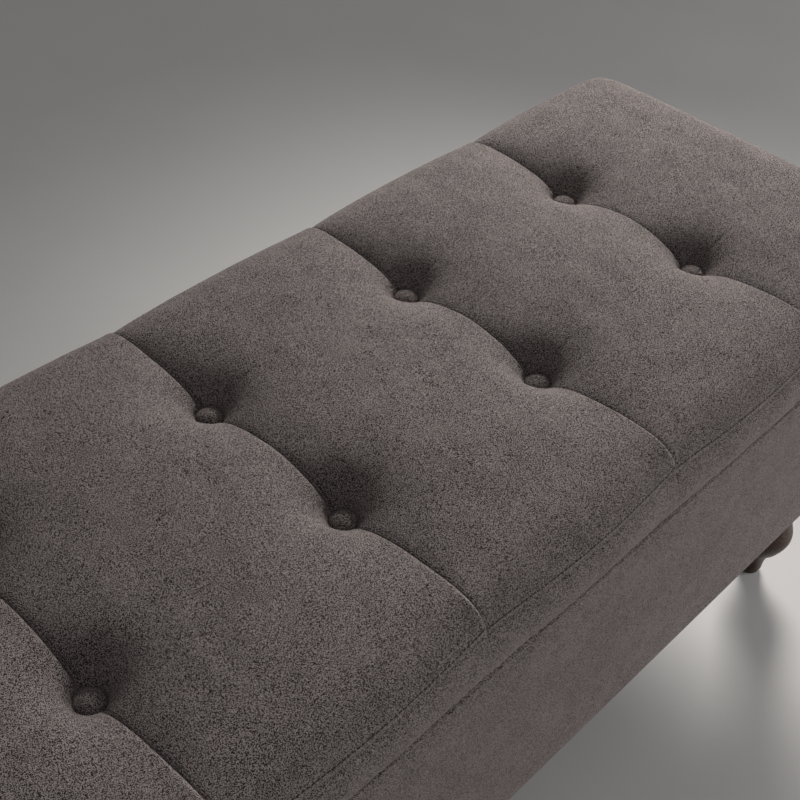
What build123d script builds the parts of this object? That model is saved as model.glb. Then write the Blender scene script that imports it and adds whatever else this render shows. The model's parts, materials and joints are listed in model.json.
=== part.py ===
"""Upholstered storage bench: a padded, button-tufted lid hinged on a cloth-covered wooden box.

Millimetres. X runs along the bench, Y from front to back, Z up.
The origin is on the floor under the middle of the bench.
"""
from build123d import *
from math import atan2, degrees, hypot
import os

# ---------------------------------------------------------------- driving dimensions
# Seat cushion
panel_pitch = 200.0          # width of one sewn panel, seam to seam
panel_count = 5              # panels along the seat
seam_depth = 384.0           # front to back, between the perimeter seams
crown = 24.0                 # rise of a panel above its seams
end_crown = 34.0             # rise of the front-to-back arch that rounds the panel's ends
band_bulge = 8.0             # how far the padded band stands out past the perimeter seam
foam_edge = 26.5             # foam between the lid board and the perimeter seam
cloth = 1.5                  # upholstery cloth with its backing
pad = 3.0                    # the same cloth over thin wadding, on the front and the sides

# Buttons
button_radius = 10.0
button_height = 6.5
button_row_spacing = 133.0   # front row to back row
button_proud = 1.0           # top of a button above the seam plane
well_clearance = 0.5         # room around a button in the foam and the cloth
twine_radius = 1.0
washer_radius = 9.0
washer_thickness = 1.2

# Box
front_overhang = 4.0         # box and lid edge outside the seam line, at the front and the sides
back_overhang = 0.5          # the same at the back, where the hinge barrels stand
panel_thickness = 15.0
box_height = 209.5           # wooden walls
bottom_thickness = 9.0
block_side = 64.0            # leg block
block_height = 36.0
cleat_width = 20.0
bearer_width = 40.0
lining = 1.0                 # storage lining, dust cover
turn_under = 18.0            # cloth folded under the box and stapled
box_turn = 2.0               # thickness of that fold
flange_width = 30.0          # cloth folded under the lid board

# Lid
lid_board_thickness = 15.0
lid_gap = 3.0                # air between the rim and the lid
bumper_radius = 6.0
bumper_clearance = 0.3

# Legs
leg_length = 165.5
glide_radius = 11.0
glide_thickness = 4.0
glide_chamfer = 1.0
nail_radius = 1.2
nail_length = 12.0
toe_radius = 12.5
ball_radius = 31.0
ball_height = 58.0           # widest part above the floor
neck_radius = 18.0
neck_straight = 3.0          # plain neck under the bead
bead_rise = 7.0
cove_step = 2.0              # small step where the cove starts
cove_height = 8.0            # bead to collar
collar_radius = 32.0
collar_height = 42.0
bolt_radius = 4.0            # hanger bolt
bolt_in_leg = 40.0
bolt_in_block = 32.0
nut_barrel_radius = 5.5
nut_flange_radius = 9.0
nut_flange = 1.5
nut_barrel = 13.0
plate_side = 50.0
plate_thickness = 2.5
plate_screw_spacing = 36.0
plate_margin = 1.0           # dust cover clear of a plate

# Hinges
hinge_inset = 160.0          # end of the seam line to the middle of a hinge
leaf_length = 60.0
leaf_width = 15.5
leaf_thickness = 1.2
knuckle_radius = 3.2
barrel_gap = 0.2             # barrel to the back face
knuckle_count = 5
knuckle_gap = 0.3            # along the pin
pin_radius = 1.5
pin_clearance = 0.06
pin_head = 0.8
pin_head_rim = 1.0           # head wider than the pin
hinge_screw_pitch = 20.0

# Folding friction stays: four equal sides between the lid hinge, the two brackets and the elbow
stay_side = 130.0
stay_box_drop = 50.0         # box pivot below the lid hinge
stay_lid_drop = 14.0         # lid pivot below the lid hinge
arm_thickness = 2.0
arm_width = 14.0
layer_gap = 0.3
rivet_radius = 3.0
rivet_head_radius = 5.0
rivet_head = 1.2
open_pivot_clearance = 0.15
bracket_plate_width = 20.0   # plate on the side wall
bracket_plate_height = 48.0
bracket_plate_screw = 16.0   # screw to the box pivot
bracket_width = 30.0         # angle under the lid
bracket_reach = 20.0         # its flange
bracket_screw_pitch = 15.0
bracket_toe = 2.0            # plate below the rivet's head

# Fasteners
screw_radius = 1.6
screw_head_radius = 3.0
screw_length = 12.0
panel_screw_radius = 2.5
panel_screw_head_radius = 4.5
panel_screw_length = 50.0
panel_screw_margin = 30.0    # from the wall's top and bottom
fastener_clearance = 0.05

# ---------------------------------------------------------------- levels and faces
seam_half_x = panel_pitch * panel_count / 2
seam_half_y = seam_depth / 2
wood_bottom = glide_thickness + leg_length + plate_thickness
block_top = wood_bottom + block_height
floor_top = block_top + bottom_thickness
wood_rim = wood_bottom + box_height
rim = wood_rim + cloth
lid_bottom = rim + lid_gap
board_bottom = lid_bottom + cloth
board_top = board_bottom + lid_board_thickness
seam_height = board_top + foam_edge

side_out = seam_half_x + front_overhang
front_out = -seam_half_y - front_overhang
back_out = seam_half_y + back_overhang
side_wood = side_out - pad
front_wood = front_out + pad
back_wood = back_out - cloth
side_in = side_wood - panel_thickness
front_in = front_wood + panel_thickness
back_in = back_wood - panel_thickness

leg_x = side_in - block_side / 2
leg_places = {
    "front_left": (-leg_x, front_in + block_side / 2),
    "front_right": (leg_x, front_in + block_side / 2),
    "back_left": (-leg_x, back_in - block_side / 2),
    "back_right": (leg_x, back_in - block_side / 2),
}
button_places = [
    (-seam_half_x + panel_pitch * seam, row * button_row_spacing / 2)
    for seam in range(1, panel_count)
    for row in (-1, 1)
]
axis_y = back_out + knuckle_radius + barrel_gap
axis_z = rim + lid_gap / 2
hinge_places = [-seam_half_x + hinge_inset, seam_half_x - hinge_inset]
leaf_screw_y = back_out - leaf_width / 2
leaf_screw_places = [
    (x + step * hinge_screw_pitch, leaf_screw_y) for x in hinge_places for step in (-1, 0, 1)
]


# ---------------------------------------------------------------- helpers
def block(x, y, z):
    """A box from its (low, high) along each axis."""
    middle = [(low + high) / 2 for low, high in (x, y, z)]
    return Pos(*middle) * Box(*(high - low for low, high in (x, y, z)))


def upright(x, y, z, radius):
    """A vertical cylinder from z[0] to z[1]."""
    return Pos(x, y, (z[0] + z[1]) / 2) * Cylinder(radius, z[1] - z[0])


def crossways(x, y, z, radius):
    """A cylinder along X from x[0] to x[1]."""
    return Pos((x[0] + x[1]) / 2, y, z) * Rot(0, 90, 0) * Cylinder(radius, x[1] - x[0])


def join(solids):
    """One shape out of several."""
    first, *rest = solids
    for solid in rest:
        first = first + solid
    return first


def countersunk(radius, head_radius, length, extra=0.0):
    """A screw along -Z with its flat head's face at the origin; extra makes its hole."""
    slope = head_radius - radius
    outline = Polyline(
        (0, 0), (head_radius + extra, 0), (radius + extra, -slope), (radius + extra, -length),
        (0, -length - radius), (0, 0),
    )
    return revolve(Plane.XZ * make_face(outline), Axis.Z)


def drill(solid, tools):
    """Take every tool out of the solid."""
    for tool in tools:
        solid = solid - tool
    return solid


# ---------------------------------------------------------------- seat cushion
def lid_section(low, high, seam_half, inset):
    """Upright section of the lid: straight along the board's edge, then bulging to the seam."""
    bulge_height = (board_top + seam_height) / 2
    bottom = lid_bottom + inset
    left, right = low + inset, high - inset
    out = seam_half + band_bulge - inset
    left_seam, right_seam = (-seam_half + inset, seam_height), (seam_half - inset, seam_height)
    outline = [
        Line((right, bottom), (left, bottom)),
        Line((left, bottom), (left, board_top)),
        ThreePointArc((left, board_top), (-out, bulge_height), left_seam),
        Line(left_seam, right_seam),
        ThreePointArc(right_seam, (out, bulge_height), (right, board_top)),
        Line((right, board_top), (right, bottom)),
    ]
    return make_face(outline)


def lid_body(inset):
    """The lid below its seam plane, each face moved in by inset."""
    across = extrude(Plane.YZ * lid_section(front_out, back_out, seam_half_y, inset),
                     amount=side_out + band_bulge, both=True)
    along = extrude(Plane.XZ * lid_section(-side_out, side_out, seam_half_x, inset),
                    amount=seam_half_y + 2 * band_bulge, both=True)
    return across & along


def arch(low, high, rise):
    """The area under an arc that springs from the seam plane."""
    ends = (low, seam_height), (high, seam_height)
    return make_face([
        ThreePointArc(ends[0], ((low + high) / 2, seam_height + rise), ends[1]),
        Line(ends[1], ends[0]),
    ])


def pillow(index, inset):
    """One panel's crown above the seam plane: an arch across it, cut by a higher one along it."""
    low = -seam_half_x + panel_pitch * index
    along = extrude(Plane.XZ * arch(low + inset, low + panel_pitch - inset, crown - inset),
                    amount=seam_half_y, both=True)
    across = extrude(Plane.YZ * arch(-seam_half_y + inset, seam_half_y - inset, end_crown - inset),
                     amount=seam_half_x, both=True)
    return along & across


def button_wells():
    """Room for the buttons and their twine in the cloth and the foam."""
    top = (seam_height + button_proud - button_height, seam_height + crown)
    return [upright(x, y, top, button_radius + well_clearance) for x, y in button_places]


def twine_holes():
    """Holes for the twine through the foam and the board."""
    span = (lid_bottom, seam_height)
    return [upright(x, y, span, twine_radius + well_clearance) for x, y in button_places]


def lid_screw_holes():
    """Holes for the hinge and bracket screws, from the lid's underside up."""
    return [
        Pos(x, y, lid_bottom - leaf_thickness) * Rot(180, 0, 0)
        * countersunk(screw_radius, screw_head_radius, screw_length, fastener_clearance)
        for x, y in leaf_screw_places + lid_bracket_screw_places()
    ]


def seat_panels():
    """The five sewn top panels."""
    return {
        f"seat_panel_{index + 1}": drill(pillow(index, 0) - pillow(index, cloth), button_wells())
        for index in range(panel_count)
    }


def seat_bands():
    """The band round the lid: four strips, mitred at the corners and folded under the board."""
    opening = block((-side_out + flange_width, side_out - flange_width),
                    (front_out + flange_width, back_out - flange_width),
                    (lid_bottom, board_bottom))
    shell = drill(lid_body(0) - lid_body(cloth) - opening, lid_screw_holes())
    far_x, far_y = seam_half_x + 2 * band_bulge, seam_half_y + 2 * band_bulge
    inner = far_x - far_y
    plans = {
        "front_band": [(-far_x, -far_y), (far_x, -far_y), (inner, 0), (-inner, 0)],
        "back_band": [(-far_x, far_y), (far_x, far_y), (inner, 0), (-inner, 0)],
        "left_band": [(-far_x, -far_y), (-far_x, far_y), (-inner, 0)],
        "right_band": [(far_x, -far_y), (far_x, far_y), (inner, 0)],
    }
    return {name: shell & mitre(plan) for name, plan in plans.items()}


def mitre(plan):
    """An upright prism over a plan, as tall as the lid's band."""
    face = make_face(Polyline(*plan, close=True))
    return Pos(0, 0, lid_bottom) * extrude(face, amount=seam_height - lid_bottom)


def seat_foam():
    """The foam block with its crowns and its button wells."""
    above_board = block((-side_out - band_bulge, side_out + band_bulge),
                        (-seam_half_y - band_bulge, seam_half_y + band_bulge),
                        (board_top, seam_height))
    foam = lid_body(cloth) & above_board
    for index in range(panel_count):
        foam = foam + pillow(index, cloth)
    return drill(foam, button_wells() + twine_holes())


def lid_board():
    """The plywood board under the foam."""
    board = block((-side_out + cloth, side_out - cloth),
                  (front_out + cloth, back_out - cloth), (board_bottom, board_top))
    recesses = [
        upright(x, y, (board_bottom, board_bottom + washer_thickness), washer_radius + well_clearance)
        for x, y in button_places
    ]
    return drill(board, recesses + twine_holes() + lid_screw_holes())


def lid_lining():
    """The cloth that closes the lid's underside, inside the folded band."""
    sheet = block((-side_out + flange_width, side_out - flange_width),
                  (front_out + flange_width, back_out - flange_width), (lid_bottom, board_bottom))
    return drill(sheet, lid_screw_holes())


def tufting_buttons():
    """Cloth-covered buttons: a low dome on a short disc."""
    top = seam_height + button_proud
    bottom = top - button_height
    dome = button_height / 2
    dome_radius = (button_radius ** 2 + dome ** 2) / (2 * dome)
    half_way = (dome_radius ** 2 - (button_radius / 2) ** 2) ** 0.5 - dome_radius
    outline = [
        Line((0, top), (0, bottom)),
        Line((0, bottom), (button_radius, bottom)),
        Line((button_radius, bottom), (button_radius, top - dome)),
        ThreePointArc((button_radius, top - dome), (button_radius / 2, top + half_way), (0, top)),
    ]
    button = revolve(Plane.XZ * make_face(outline), Axis.Z)
    return [Pos(x, y, 0) * button for x, y in button_places]


def button_twines():
    """Waxed twine from each button down to its washer."""
    bottom = seam_height + button_proud - button_height
    span = (board_bottom + washer_thickness, bottom)
    return [upright(x, y, span, twine_radius) for x, y in button_places]


def twine_washers():
    """Washers that hold the twine under the board."""
    span = (board_bottom, board_bottom + washer_thickness)
    return [upright(x, y, span, washer_radius) for x, y in button_places]


# ---------------------------------------------------------------- box
def leg_bolt_holes(radius, span):
    """Upright holes on the leg axes."""
    return [upright(x, y, span, radius) for x, y in leg_places.values()]


def panel_screw_heights():
    """Heights of the three screws in each box corner."""
    middle = (wood_bottom + wood_rim) / 2
    return [wood_bottom + panel_screw_margin, middle, wood_rim - panel_screw_margin]


def panel_screws(extra=0.0):
    """Screws through the front and back panels into the ends of the side panels."""
    screws = []
    screw = countersunk(panel_screw_radius, panel_screw_head_radius, panel_screw_length, extra)
    for side in (-1, 1):
        x = side * (side_wood - panel_thickness / 2)
        for z in panel_screw_heights():
            screws.append(Pos(x, front_wood, z) * Rot(90, 0, 0) * screw)
            screws.append(Pos(x, back_wood, z) * Rot(-90, 0, 0) * screw)
    return screws


def wall_screw_tools(extra):
    """The stay bracket's screws, driven outward through the lining into the side panels."""
    screw = countersunk(screw_radius, screw_head_radius, screw_length, extra)
    tools = []
    for side in (-1, 1):
        for y, z in box_bracket_screw_places():
            turn = Rot(0, -90 * side, 0)
            tools.append(Pos(side * bracket_face, y, z) * turn * screw)
    return tools


def rim_screw_tools(extra):
    """The hinge screws, driven down into the back rim."""
    screw = countersunk(screw_radius, screw_head_radius, screw_length, extra)
    return [Pos(x, y, rim + leaf_thickness) * screw for x, y in leaf_screw_places]


def box_panels():
    """The four wooden walls."""
    height = (wood_bottom, wood_rim)
    full = (-side_wood, side_wood)
    between = (front_in, back_in)
    walls = {
        "front_panel": block(full, (front_wood, front_in), height),
        "back_panel": block(full, (back_in, back_wood), height),
        "left_side_panel": block((-side_wood, -side_in), between, height),
        "right_side_panel": block((side_in, side_wood), between, height),
    }
    corner_holes = panel_screws(fastener_clearance)
    rim_holes = rim_screw_tools(fastener_clearance)
    wall_holes = wall_screw_tools(fastener_clearance)
    walls = {name: drill(wall, corner_holes) for name, wall in walls.items()}
    walls["back_panel"] = drill(walls["back_panel"], rim_holes)
    for name in ("left_side_panel", "right_side_panel"):
        walls[name] = drill(walls[name], wall_holes)
    return walls


def box_floor():
    """The bottom board, the cleats and the bearer under it, and the leg blocks."""
    under = (wood_bottom, block_top)
    cleat_x = (-side_in + block_side, side_in - block_side)
    front_cleat_y = (front_in, front_in + cleat_width)
    back_cleat_y = (back_in - cleat_width, back_in)
    parts = {
        "bottom_panel": block((-side_in, side_in), (front_in, back_in), (block_top, floor_top)),
        "front_cleat": block(cleat_x, front_cleat_y, under),
        "back_cleat": block(cleat_x, back_cleat_y, under),
        "centre_bearer": block((-bearer_width / 2, bearer_width / 2),
                               (front_cleat_y[1], back_cleat_y[0]), under),
    }
    for name, (x, y) in leg_places.items():
        half = block_side / 2
        parts[f"{name}_leg_block"] = block((x - half, x + half), (y - half, y + half), under)
    nut_holes = leg_bolt_holes(nut_barrel_radius + fastener_clearance, under)
    nut_seats = leg_bolt_holes(nut_flange_radius + fastener_clearance,
                               (block_top - nut_flange, block_top))
    plate_holes = plate_screws(fastener_clearance)
    for name in leg_places:
        parts[f"{name}_leg_block"] = drill(
            parts[f"{name}_leg_block"], nut_holes + nut_seats + plate_holes)
    return parts


def box_covers():
    """Cloth over the four walls, folded over the rim and under the bottom."""
    low = wood_bottom - box_turn
    front_turn = front_wood + turn_under
    back_turn = back_wood - turn_under
    full = (-side_out, side_out)
    covers = {
        "front_cover": [
            block(full, (front_out, front_wood), (low, rim)),
            block(full, (front_wood, front_in), (wood_rim, rim)),
            block((-side_wood, side_wood), (front_wood, front_turn), (low, wood_bottom)),
        ],
        "back_cover": [
            block(full, (back_wood, back_out), (low, rim)),
            block(full, (back_in, back_wood), (wood_rim, rim)),
            block((-side_wood, side_wood), (back_turn, back_wood), (low, wood_bottom)),
        ],
    }
    for side, name in ((-1, "left_side_cover"), (1, "right_side_cover")):
        outer = sorted((side * side_wood, side * side_out))
        top = sorted((side * side_in, side * side_wood))
        under = sorted((side * (side_wood - turn_under), side * side_wood))
        covers[name] = [
            block(outer, (front_wood, back_wood), (low, wood_rim)),
            block(outer, (front_in, back_in), (wood_rim, rim)),
            block(top, (front_in, back_in), (wood_rim, rim)),
            block(under, (front_turn, back_turn), (low, wood_bottom)),
        ]
    covers = {name: join(strips) for name, strips in covers.items()}
    covers["back_cover"] = drill(covers["back_cover"], rim_screw_tools(fastener_clearance))
    return covers


def storage_lining():
    """The open-topped cloth lining of the box."""
    outer = block((-side_in, side_in), (front_in, back_in), (floor_top, wood_rim))
    inner = block((-side_in + lining, side_in - lining), (front_in + lining, back_in - lining),
                  (floor_top + lining, wood_rim))
    return drill(outer - inner, wall_screw_tools(fastener_clearance))


def dust_cover():
    """The thin cloth that closes the underside, cut out round the leg plates."""
    edge = turn_under
    sheet = block((-side_wood + edge, side_wood - edge), (front_wood + edge, back_wood - edge),
                  (wood_bottom - lining, wood_bottom))
    half = plate_side / 2 + plate_margin
    cuts = [
        block((x - half, x + half), (y - half, y + half), (wood_bottom - lining, wood_bottom))
        for x, y in leg_places.values()
    ]
    return drill(sheet, cuts)


def lid_bumpers():
    """Rubber bumpers on the rim's corners, just clear of the lid."""
    x = (side_in + side_wood) / 2
    places = [(side * x, y) for side in (-1, 1)
              for y in ((front_in + front_wood) / 2, (back_in + back_wood) / 2)]
    return [upright(x, y, (rim, lid_bottom - bumper_clearance), bumper_radius) for x, y in places]


# ---------------------------------------------------------------- legs
def turned_leg():
    """Leg on the Z axis: toe, ball, neck, bead and collar."""
    bottom, top = glide_thickness, glide_thickness + leg_length
    collar_bottom = top - collar_height
    neck_height = ball_height + 0.6 * (collar_bottom - ball_height)
    vase = Spline(
        (toe_radius, bottom), (1.08 * toe_radius, 0.34 * ball_height),
        (0.58 * ball_radius, 0.57 * ball_height), (0.81 * ball_radius, 0.74 * ball_height),
        (ball_radius, ball_height), (0.93 * ball_radius, 1.24 * ball_height),
        (neck_radius, neck_height),
    )
    bead_bottom, bead_top = neck_height + neck_straight, collar_bottom - cove_height
    cove_foot = neck_radius + cove_step
    outline = [
        Line((0, top), (0, bottom)),
        Line((0, bottom), (toe_radius, bottom)),
        vase,
        Line((neck_radius, neck_height), (neck_radius, bead_bottom)),
        ThreePointArc((neck_radius, bead_bottom),
                      (neck_radius + bead_rise, (bead_bottom + bead_top) / 2),
                      (neck_radius, bead_top)),
        Line((neck_radius, bead_top), (cove_foot, bead_top)),
        ThreePointArc((cove_foot, bead_top),
                      (cove_foot + 0.25 * (collar_radius - cove_foot), bead_top + 0.625 * cove_height),
                      (collar_radius, collar_bottom)),
        Line((collar_radius, collar_bottom), (collar_radius, top)),
        Line((collar_radius, top), (0, top)),
    ]
    leg = revolve(Plane.XZ * make_face(outline), Axis.Z)
    bolt_hole = upright(0, 0, (top - bolt_in_leg, top), bolt_radius + fastener_clearance)
    nail_hole = upright(0, 0, (bottom, bottom + nail_length), nail_radius + fastener_clearance)
    return leg - bolt_hole - nail_hole


def leg_glides():
    """Plastic glides on the floor, each with its nail."""
    glides = []
    for x, y in leg_places.values():
        disc = upright(x, y, (0, glide_thickness), glide_radius)
        disc = chamfer(disc.faces().sort_by(Axis.Z)[0].edges(), glide_chamfer)
        nail = upright(x, y, (glide_thickness, glide_thickness + nail_length), nail_radius)
        glides.append(disc + nail)
    return glides


def leg_hanger_bolts():
    """Bolts from the legs up into the blocks."""
    top = glide_thickness + leg_length
    return leg_bolt_holes(bolt_radius, (top - bolt_in_leg, top + bolt_in_block))


def leg_tee_nuts():
    """Flanged nuts let into the top of the blocks."""
    seat = block_top - nut_flange
    bore = bolt_radius + fastener_clearance
    return [
        upright(x, y, (seat, block_top), nut_flange_radius)
        + upright(x, y, (seat - nut_barrel, seat), nut_barrel_radius)
        - upright(x, y, (seat - nut_barrel, block_top), bore)
        for x, y in leg_places.values()
    ]


def plate_screw_places():
    """Four screws round each leg axis."""
    step = plate_screw_spacing / 2
    return [(x + i * step, y + j * step)
            for x, y in leg_places.values() for i in (-1, 1) for j in (-1, 1)]


def plate_screws(extra=0.0):
    """Flat-headed screws up through the leg plates."""
    screw = Rot(180, 0, 0) * countersunk(screw_radius, screw_head_radius, screw_length, extra)
    return [Pos(x, y, wood_bottom - plate_thickness) * screw for x, y in plate_screw_places()]


def leg_plates():
    """Steel plates between the legs and the blocks."""
    half = plate_side / 2
    span = (wood_bottom - plate_thickness, wood_bottom)
    bores = leg_bolt_holes(bolt_radius + 2 * fastener_clearance, span)
    holes = plate_screws(fastener_clearance)
    return [
        drill(block((x - half, x + half), (y - half, y + half), span), bores + holes)
        for x, y in leg_places.values()
    ]


# ---------------------------------------------------------------- hinges
def hinge_leaf(x, span, own, screws):
    """A leaf between the rim and the lid, with its share of the knuckles."""
    low = x - leaf_length / 2
    relief = axis_y - knuckle_radius - 2 * knuckle_gap
    root = axis_y - (knuckle_radius + pin_radius) / 2
    leaf = block((low, low + leaf_length), (back_out - leaf_width, min(back_out, relief)), span)
    pitch = leaf_length / knuckle_count
    for index in range(own, knuckle_count, 2):
        reach = (low + index * pitch + knuckle_gap / 2, low + (index + 1) * pitch - knuckle_gap / 2)
        leaf = leaf + block(reach, (back_out - leaf_width, root), span)
        leaf = leaf + crossways(reach, axis_y, axis_z, knuckle_radius)
    bore = crossways((low, low + leaf_length), axis_y, axis_z, pin_radius + pin_clearance)
    return drill(leaf - bore, screws)


def hinge_box_leaves():
    """Leaves screwed to the rim."""
    span = (rim, rim + leaf_thickness)
    return [hinge_leaf(x, span, 0, rim_screw_tools(fastener_clearance)) for x in hinge_places]


def hinge_lid_leaves():
    """Leaves screwed to the lid."""
    span = (lid_bottom - leaf_thickness, lid_bottom)
    return [hinge_leaf(x, span, 1, lid_screw_holes()) for x in hinge_places]


def hinge_pins():
    """Headed pins through the knuckles."""
    half = leaf_length / 2
    tip, head_radius = half + pin_head, pin_radius + pin_head_rim
    return [
        crossways((x - tip, x + tip), axis_y, axis_z, pin_radius)
        + crossways((x - tip, x - half), axis_y, axis_z, head_radius)
        + crossways((x + half, x + tip), axis_y, axis_z, head_radius)
        for x in hinge_places
    ]


# ---------------------------------------------------------------- folding stays
def arc_point(drop):
    """Point one stay side in front of the hinge axis and drop below it, as (y, z)."""
    forward = (stay_side ** 2 - drop ** 2) ** 0.5
    return axis_y - forward, axis_z - drop


box_pivot = arc_point(stay_box_drop)
lid_pivot = arc_point(stay_lid_drop)
elbow = (box_pivot[0] + lid_pivot[0] - axis_y, box_pivot[1] + lid_pivot[1] - axis_z)

# Layers of each stay, from the wall inward, as distances from the middle of the bench
wall_face = side_in - lining
bracket_face = wall_face - arm_thickness
lower_arm_layer = (bracket_face - layer_gap - arm_thickness, bracket_face - layer_gap)
upper_arm_layer = tuple(face - layer_gap - arm_thickness for face in lower_arm_layer)
lid_bracket_layer = tuple(face - layer_gap - arm_thickness for face in upper_arm_layer)


def across(side, layer):
    """A layer on the left (-1) or right (1) side, as low and high X."""
    return tuple(sorted((side * layer[0], side * layer[1])))


def box_bracket_screw_places():
    """Two screws above and below the box pivot, as (y, z)."""
    y, z = box_pivot
    return [(y, z - bracket_plate_screw), (y, z + bracket_plate_screw)]


def lid_bracket_screw_places():
    """Two screws through each lid bracket's flange, as (x, y)."""
    inner = lid_bracket_layer[0] - bracket_reach / 2
    step = bracket_screw_pitch / 2
    return [(side * inner, lid_pivot[0] + row * step) for side in (-1, 1) for row in (-1, 1)]


def stay_box_brackets():
    """Plates on the side walls that carry the lower arms."""
    y, z = box_pivot
    half_width, half_height = bracket_plate_width / 2, bracket_plate_height / 2
    plates = []
    for side in (-1, 1):
        span = across(side, (bracket_face, wall_face))
        plate = block(span, (y - half_width, y + half_width), (z - half_height, z + half_height))
        bore = crossways(span, y, z, rivet_radius + fastener_clearance)
        plates.append(drill(plate - bore, wall_screw_tools(fastener_clearance)))
    return plates


def stay_box_rivets():
    """Rivets that the lower arms turn on."""
    heads = (lower_arm_layer[0] - layer_gap - rivet_head, lower_arm_layer[0] - layer_gap)
    rivets = []
    for side in (-1, 1):
        shank = crossways(across(side, (heads[1], wall_face)), *box_pivot, rivet_radius)
        head = crossways(across(side, heads), *box_pivot, rivet_head_radius)
        rivets.append(shank + head)
    return rivets


def stay_arm(side, layer, first, second, second_clearance):
    """A flat arm with round ends, holed at both."""
    middle = ((first[0] + second[0]) / 2, (first[1] + second[1]) / 2)
    run, rise = second[0] - first[0], second[1] - first[1]
    span = across(side, layer)
    slot = SlotCenterToCenter(hypot(run, rise), arm_width)
    outline = Pos(*middle) * Rot(0, 0, degrees(atan2(rise, run))) * slot
    plate = Pos(span[0], 0, 0) * extrude(Plane.YZ * outline, amount=span[1] - span[0])
    plate = plate - crossways(span, *first, rivet_radius + pin_clearance)
    return plate - crossways(span, *second, rivet_radius + second_clearance)


def stay_lower_arm(side):
    """Box pivot to elbow."""
    return stay_arm(side, lower_arm_layer, box_pivot, elbow, fastener_clearance)


def stay_upper_arm(side):
    """Elbow to lid pivot; the lid pivot is the loose one."""
    return stay_arm(side, upper_arm_layer, elbow, lid_pivot, open_pivot_clearance)


def stay_elbow_rivet(side):
    """Rivet fixed in the lower arm; the upper arm turns on it."""
    outer = (lower_arm_layer[1], lower_arm_layer[1] + rivet_head)
    inner = (upper_arm_layer[0] - layer_gap - rivet_head, upper_arm_layer[0] - layer_gap)
    shank = crossways(across(side, (inner[1], outer[0])), *elbow, rivet_radius)
    outer_head = crossways(across(side, outer), *elbow, rivet_head_radius)
    return shank + outer_head + crossways(across(side, inner), *elbow, rivet_head_radius)


def stay_lid_brackets():
    """Angles under the lid that carry the upper arms."""
    y, z = lid_pivot
    half = bracket_width / 2
    brackets = []
    for side in (-1, 1):
        wall = across(side, lid_bracket_layer)
        toe = z - rivet_head_radius - bracket_toe
        plate = block(wall, (y - half, y + half), (toe, lid_bottom))
        reach = across(side, (lid_bracket_layer[0] - bracket_reach, lid_bracket_layer[0]))
        flange = block(reach, (y - half, y + half), (lid_bottom - leaf_thickness, lid_bottom))
        bore = crossways(wall, y, z, rivet_radius + fastener_clearance)
        brackets.append(drill(plate + flange - bore, lid_screw_holes()))
    return brackets


def stay_lid_rivets():
    """Rivets in the lid brackets."""
    outer = (upper_arm_layer[1] + layer_gap, upper_arm_layer[1] + layer_gap + rivet_head)
    inner = (lid_bracket_layer[0] - rivet_head, lid_bracket_layer[0])
    rivets = []
    for side in (-1, 1):
        shank = crossways(across(side, (inner[1], outer[0])), *lid_pivot, rivet_radius)
        outer_head = crossways(across(side, outer), *lid_pivot, rivet_head_radius)
        inner_head = crossways(across(side, inner), *lid_pivot, rivet_head_radius)
        rivets.append(shank + outer_head + inner_head)
    return rivets


def box_hardware_screws():
    """Hinge screws in the rim and stay screws in the side walls."""
    return rim_screw_tools(0) + wall_screw_tools(0)


def lid_hardware_screws():
    """Hinge and stay screws in the lid."""
    screw = Rot(180, 0, 0) * countersunk(screw_radius, screw_head_radius, screw_length)
    return [Pos(x, y, lid_bottom - leaf_thickness) * screw
            for x, y in leaf_screw_places + lid_bracket_screw_places()]


# ---------------------------------------------------------------- the whole bench
def bench():
    """Every node by name; a list is a group of separate solids."""
    leg = turned_leg()
    parts = {
        **box_panels(), **box_floor(), **box_covers(),
        "panel_screws": panel_screws(),
        "storage_lining": storage_lining(),
        "dust_cover": dust_cover(),
        "lid_bumpers": lid_bumpers(),
        "leg_glides": leg_glides(),
        "leg_hanger_bolts": leg_hanger_bolts(),
        "leg_tee_nuts": leg_tee_nuts(),
        "leg_plates": leg_plates(),
        "leg_plate_screws": plate_screws(),
        "hinge_box_leaves": hinge_box_leaves(),
        "hinge_pins": hinge_pins(),
        "box_hardware_screws": box_hardware_screws(),
        "stay_box_brackets": stay_box_brackets(),
        "stay_box_rivets": stay_box_rivets(),
        "lid_board": lid_board(),
        "seat_foam": seat_foam(),
        **seat_panels(), **seat_bands(),
        "tufting_buttons": tufting_buttons(),
        "button_twines": button_twines(),
        "twine_washers": twine_washers(),
        "lid_lining": lid_lining(),
        "hinge_lid_leaves": hinge_lid_leaves(),
        "lid_hardware_screws": lid_hardware_screws(),
        "stay_lid_brackets": stay_lid_brackets(),
        "stay_lid_rivets": stay_lid_rivets(),
    }
    for name, (x, y) in leg_places.items():
        parts[f"{name}_leg"] = Pos(x, y, 0) * leg
    for side, name in ((-1, "left"), (1, "right")):
        parts[f"{name}_stay_lower_arm"] = stay_lower_arm(side)
        parts[f"{name}_stay_upper_arm"] = stay_upper_arm(side)
        parts[f"{name}_stay_elbow_rivet"] = stay_elbow_rivet(side)
    return parts


os.makedirs("parts", exist_ok=True)
for node, shape in bench().items():
    if isinstance(shape, list):
        shape = Compound(children=shape)
    export_step(shape, f"parts/{node}.step")
print("hinge axis", axis_y, axis_z)
print("stay box pivot", box_pivot, "elbow", elbow, "lid pivot", lid_pivot)
print("floor", floor_top, "rim", rim, "lid", lid_bottom, "seam", seam_height, "front", front_in, back_in)
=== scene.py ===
"""Upholstered storage bench: tufted lid, cloth-covered box, turned legs, hinges and folding stays.

Laid out as an add-on whose operators each make one piece, or one group of like pieces, round the packed
CAD model. Everything is in metres, in the CAD model's frame: X along the bench, Y to the back, Z up.
"""

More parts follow.
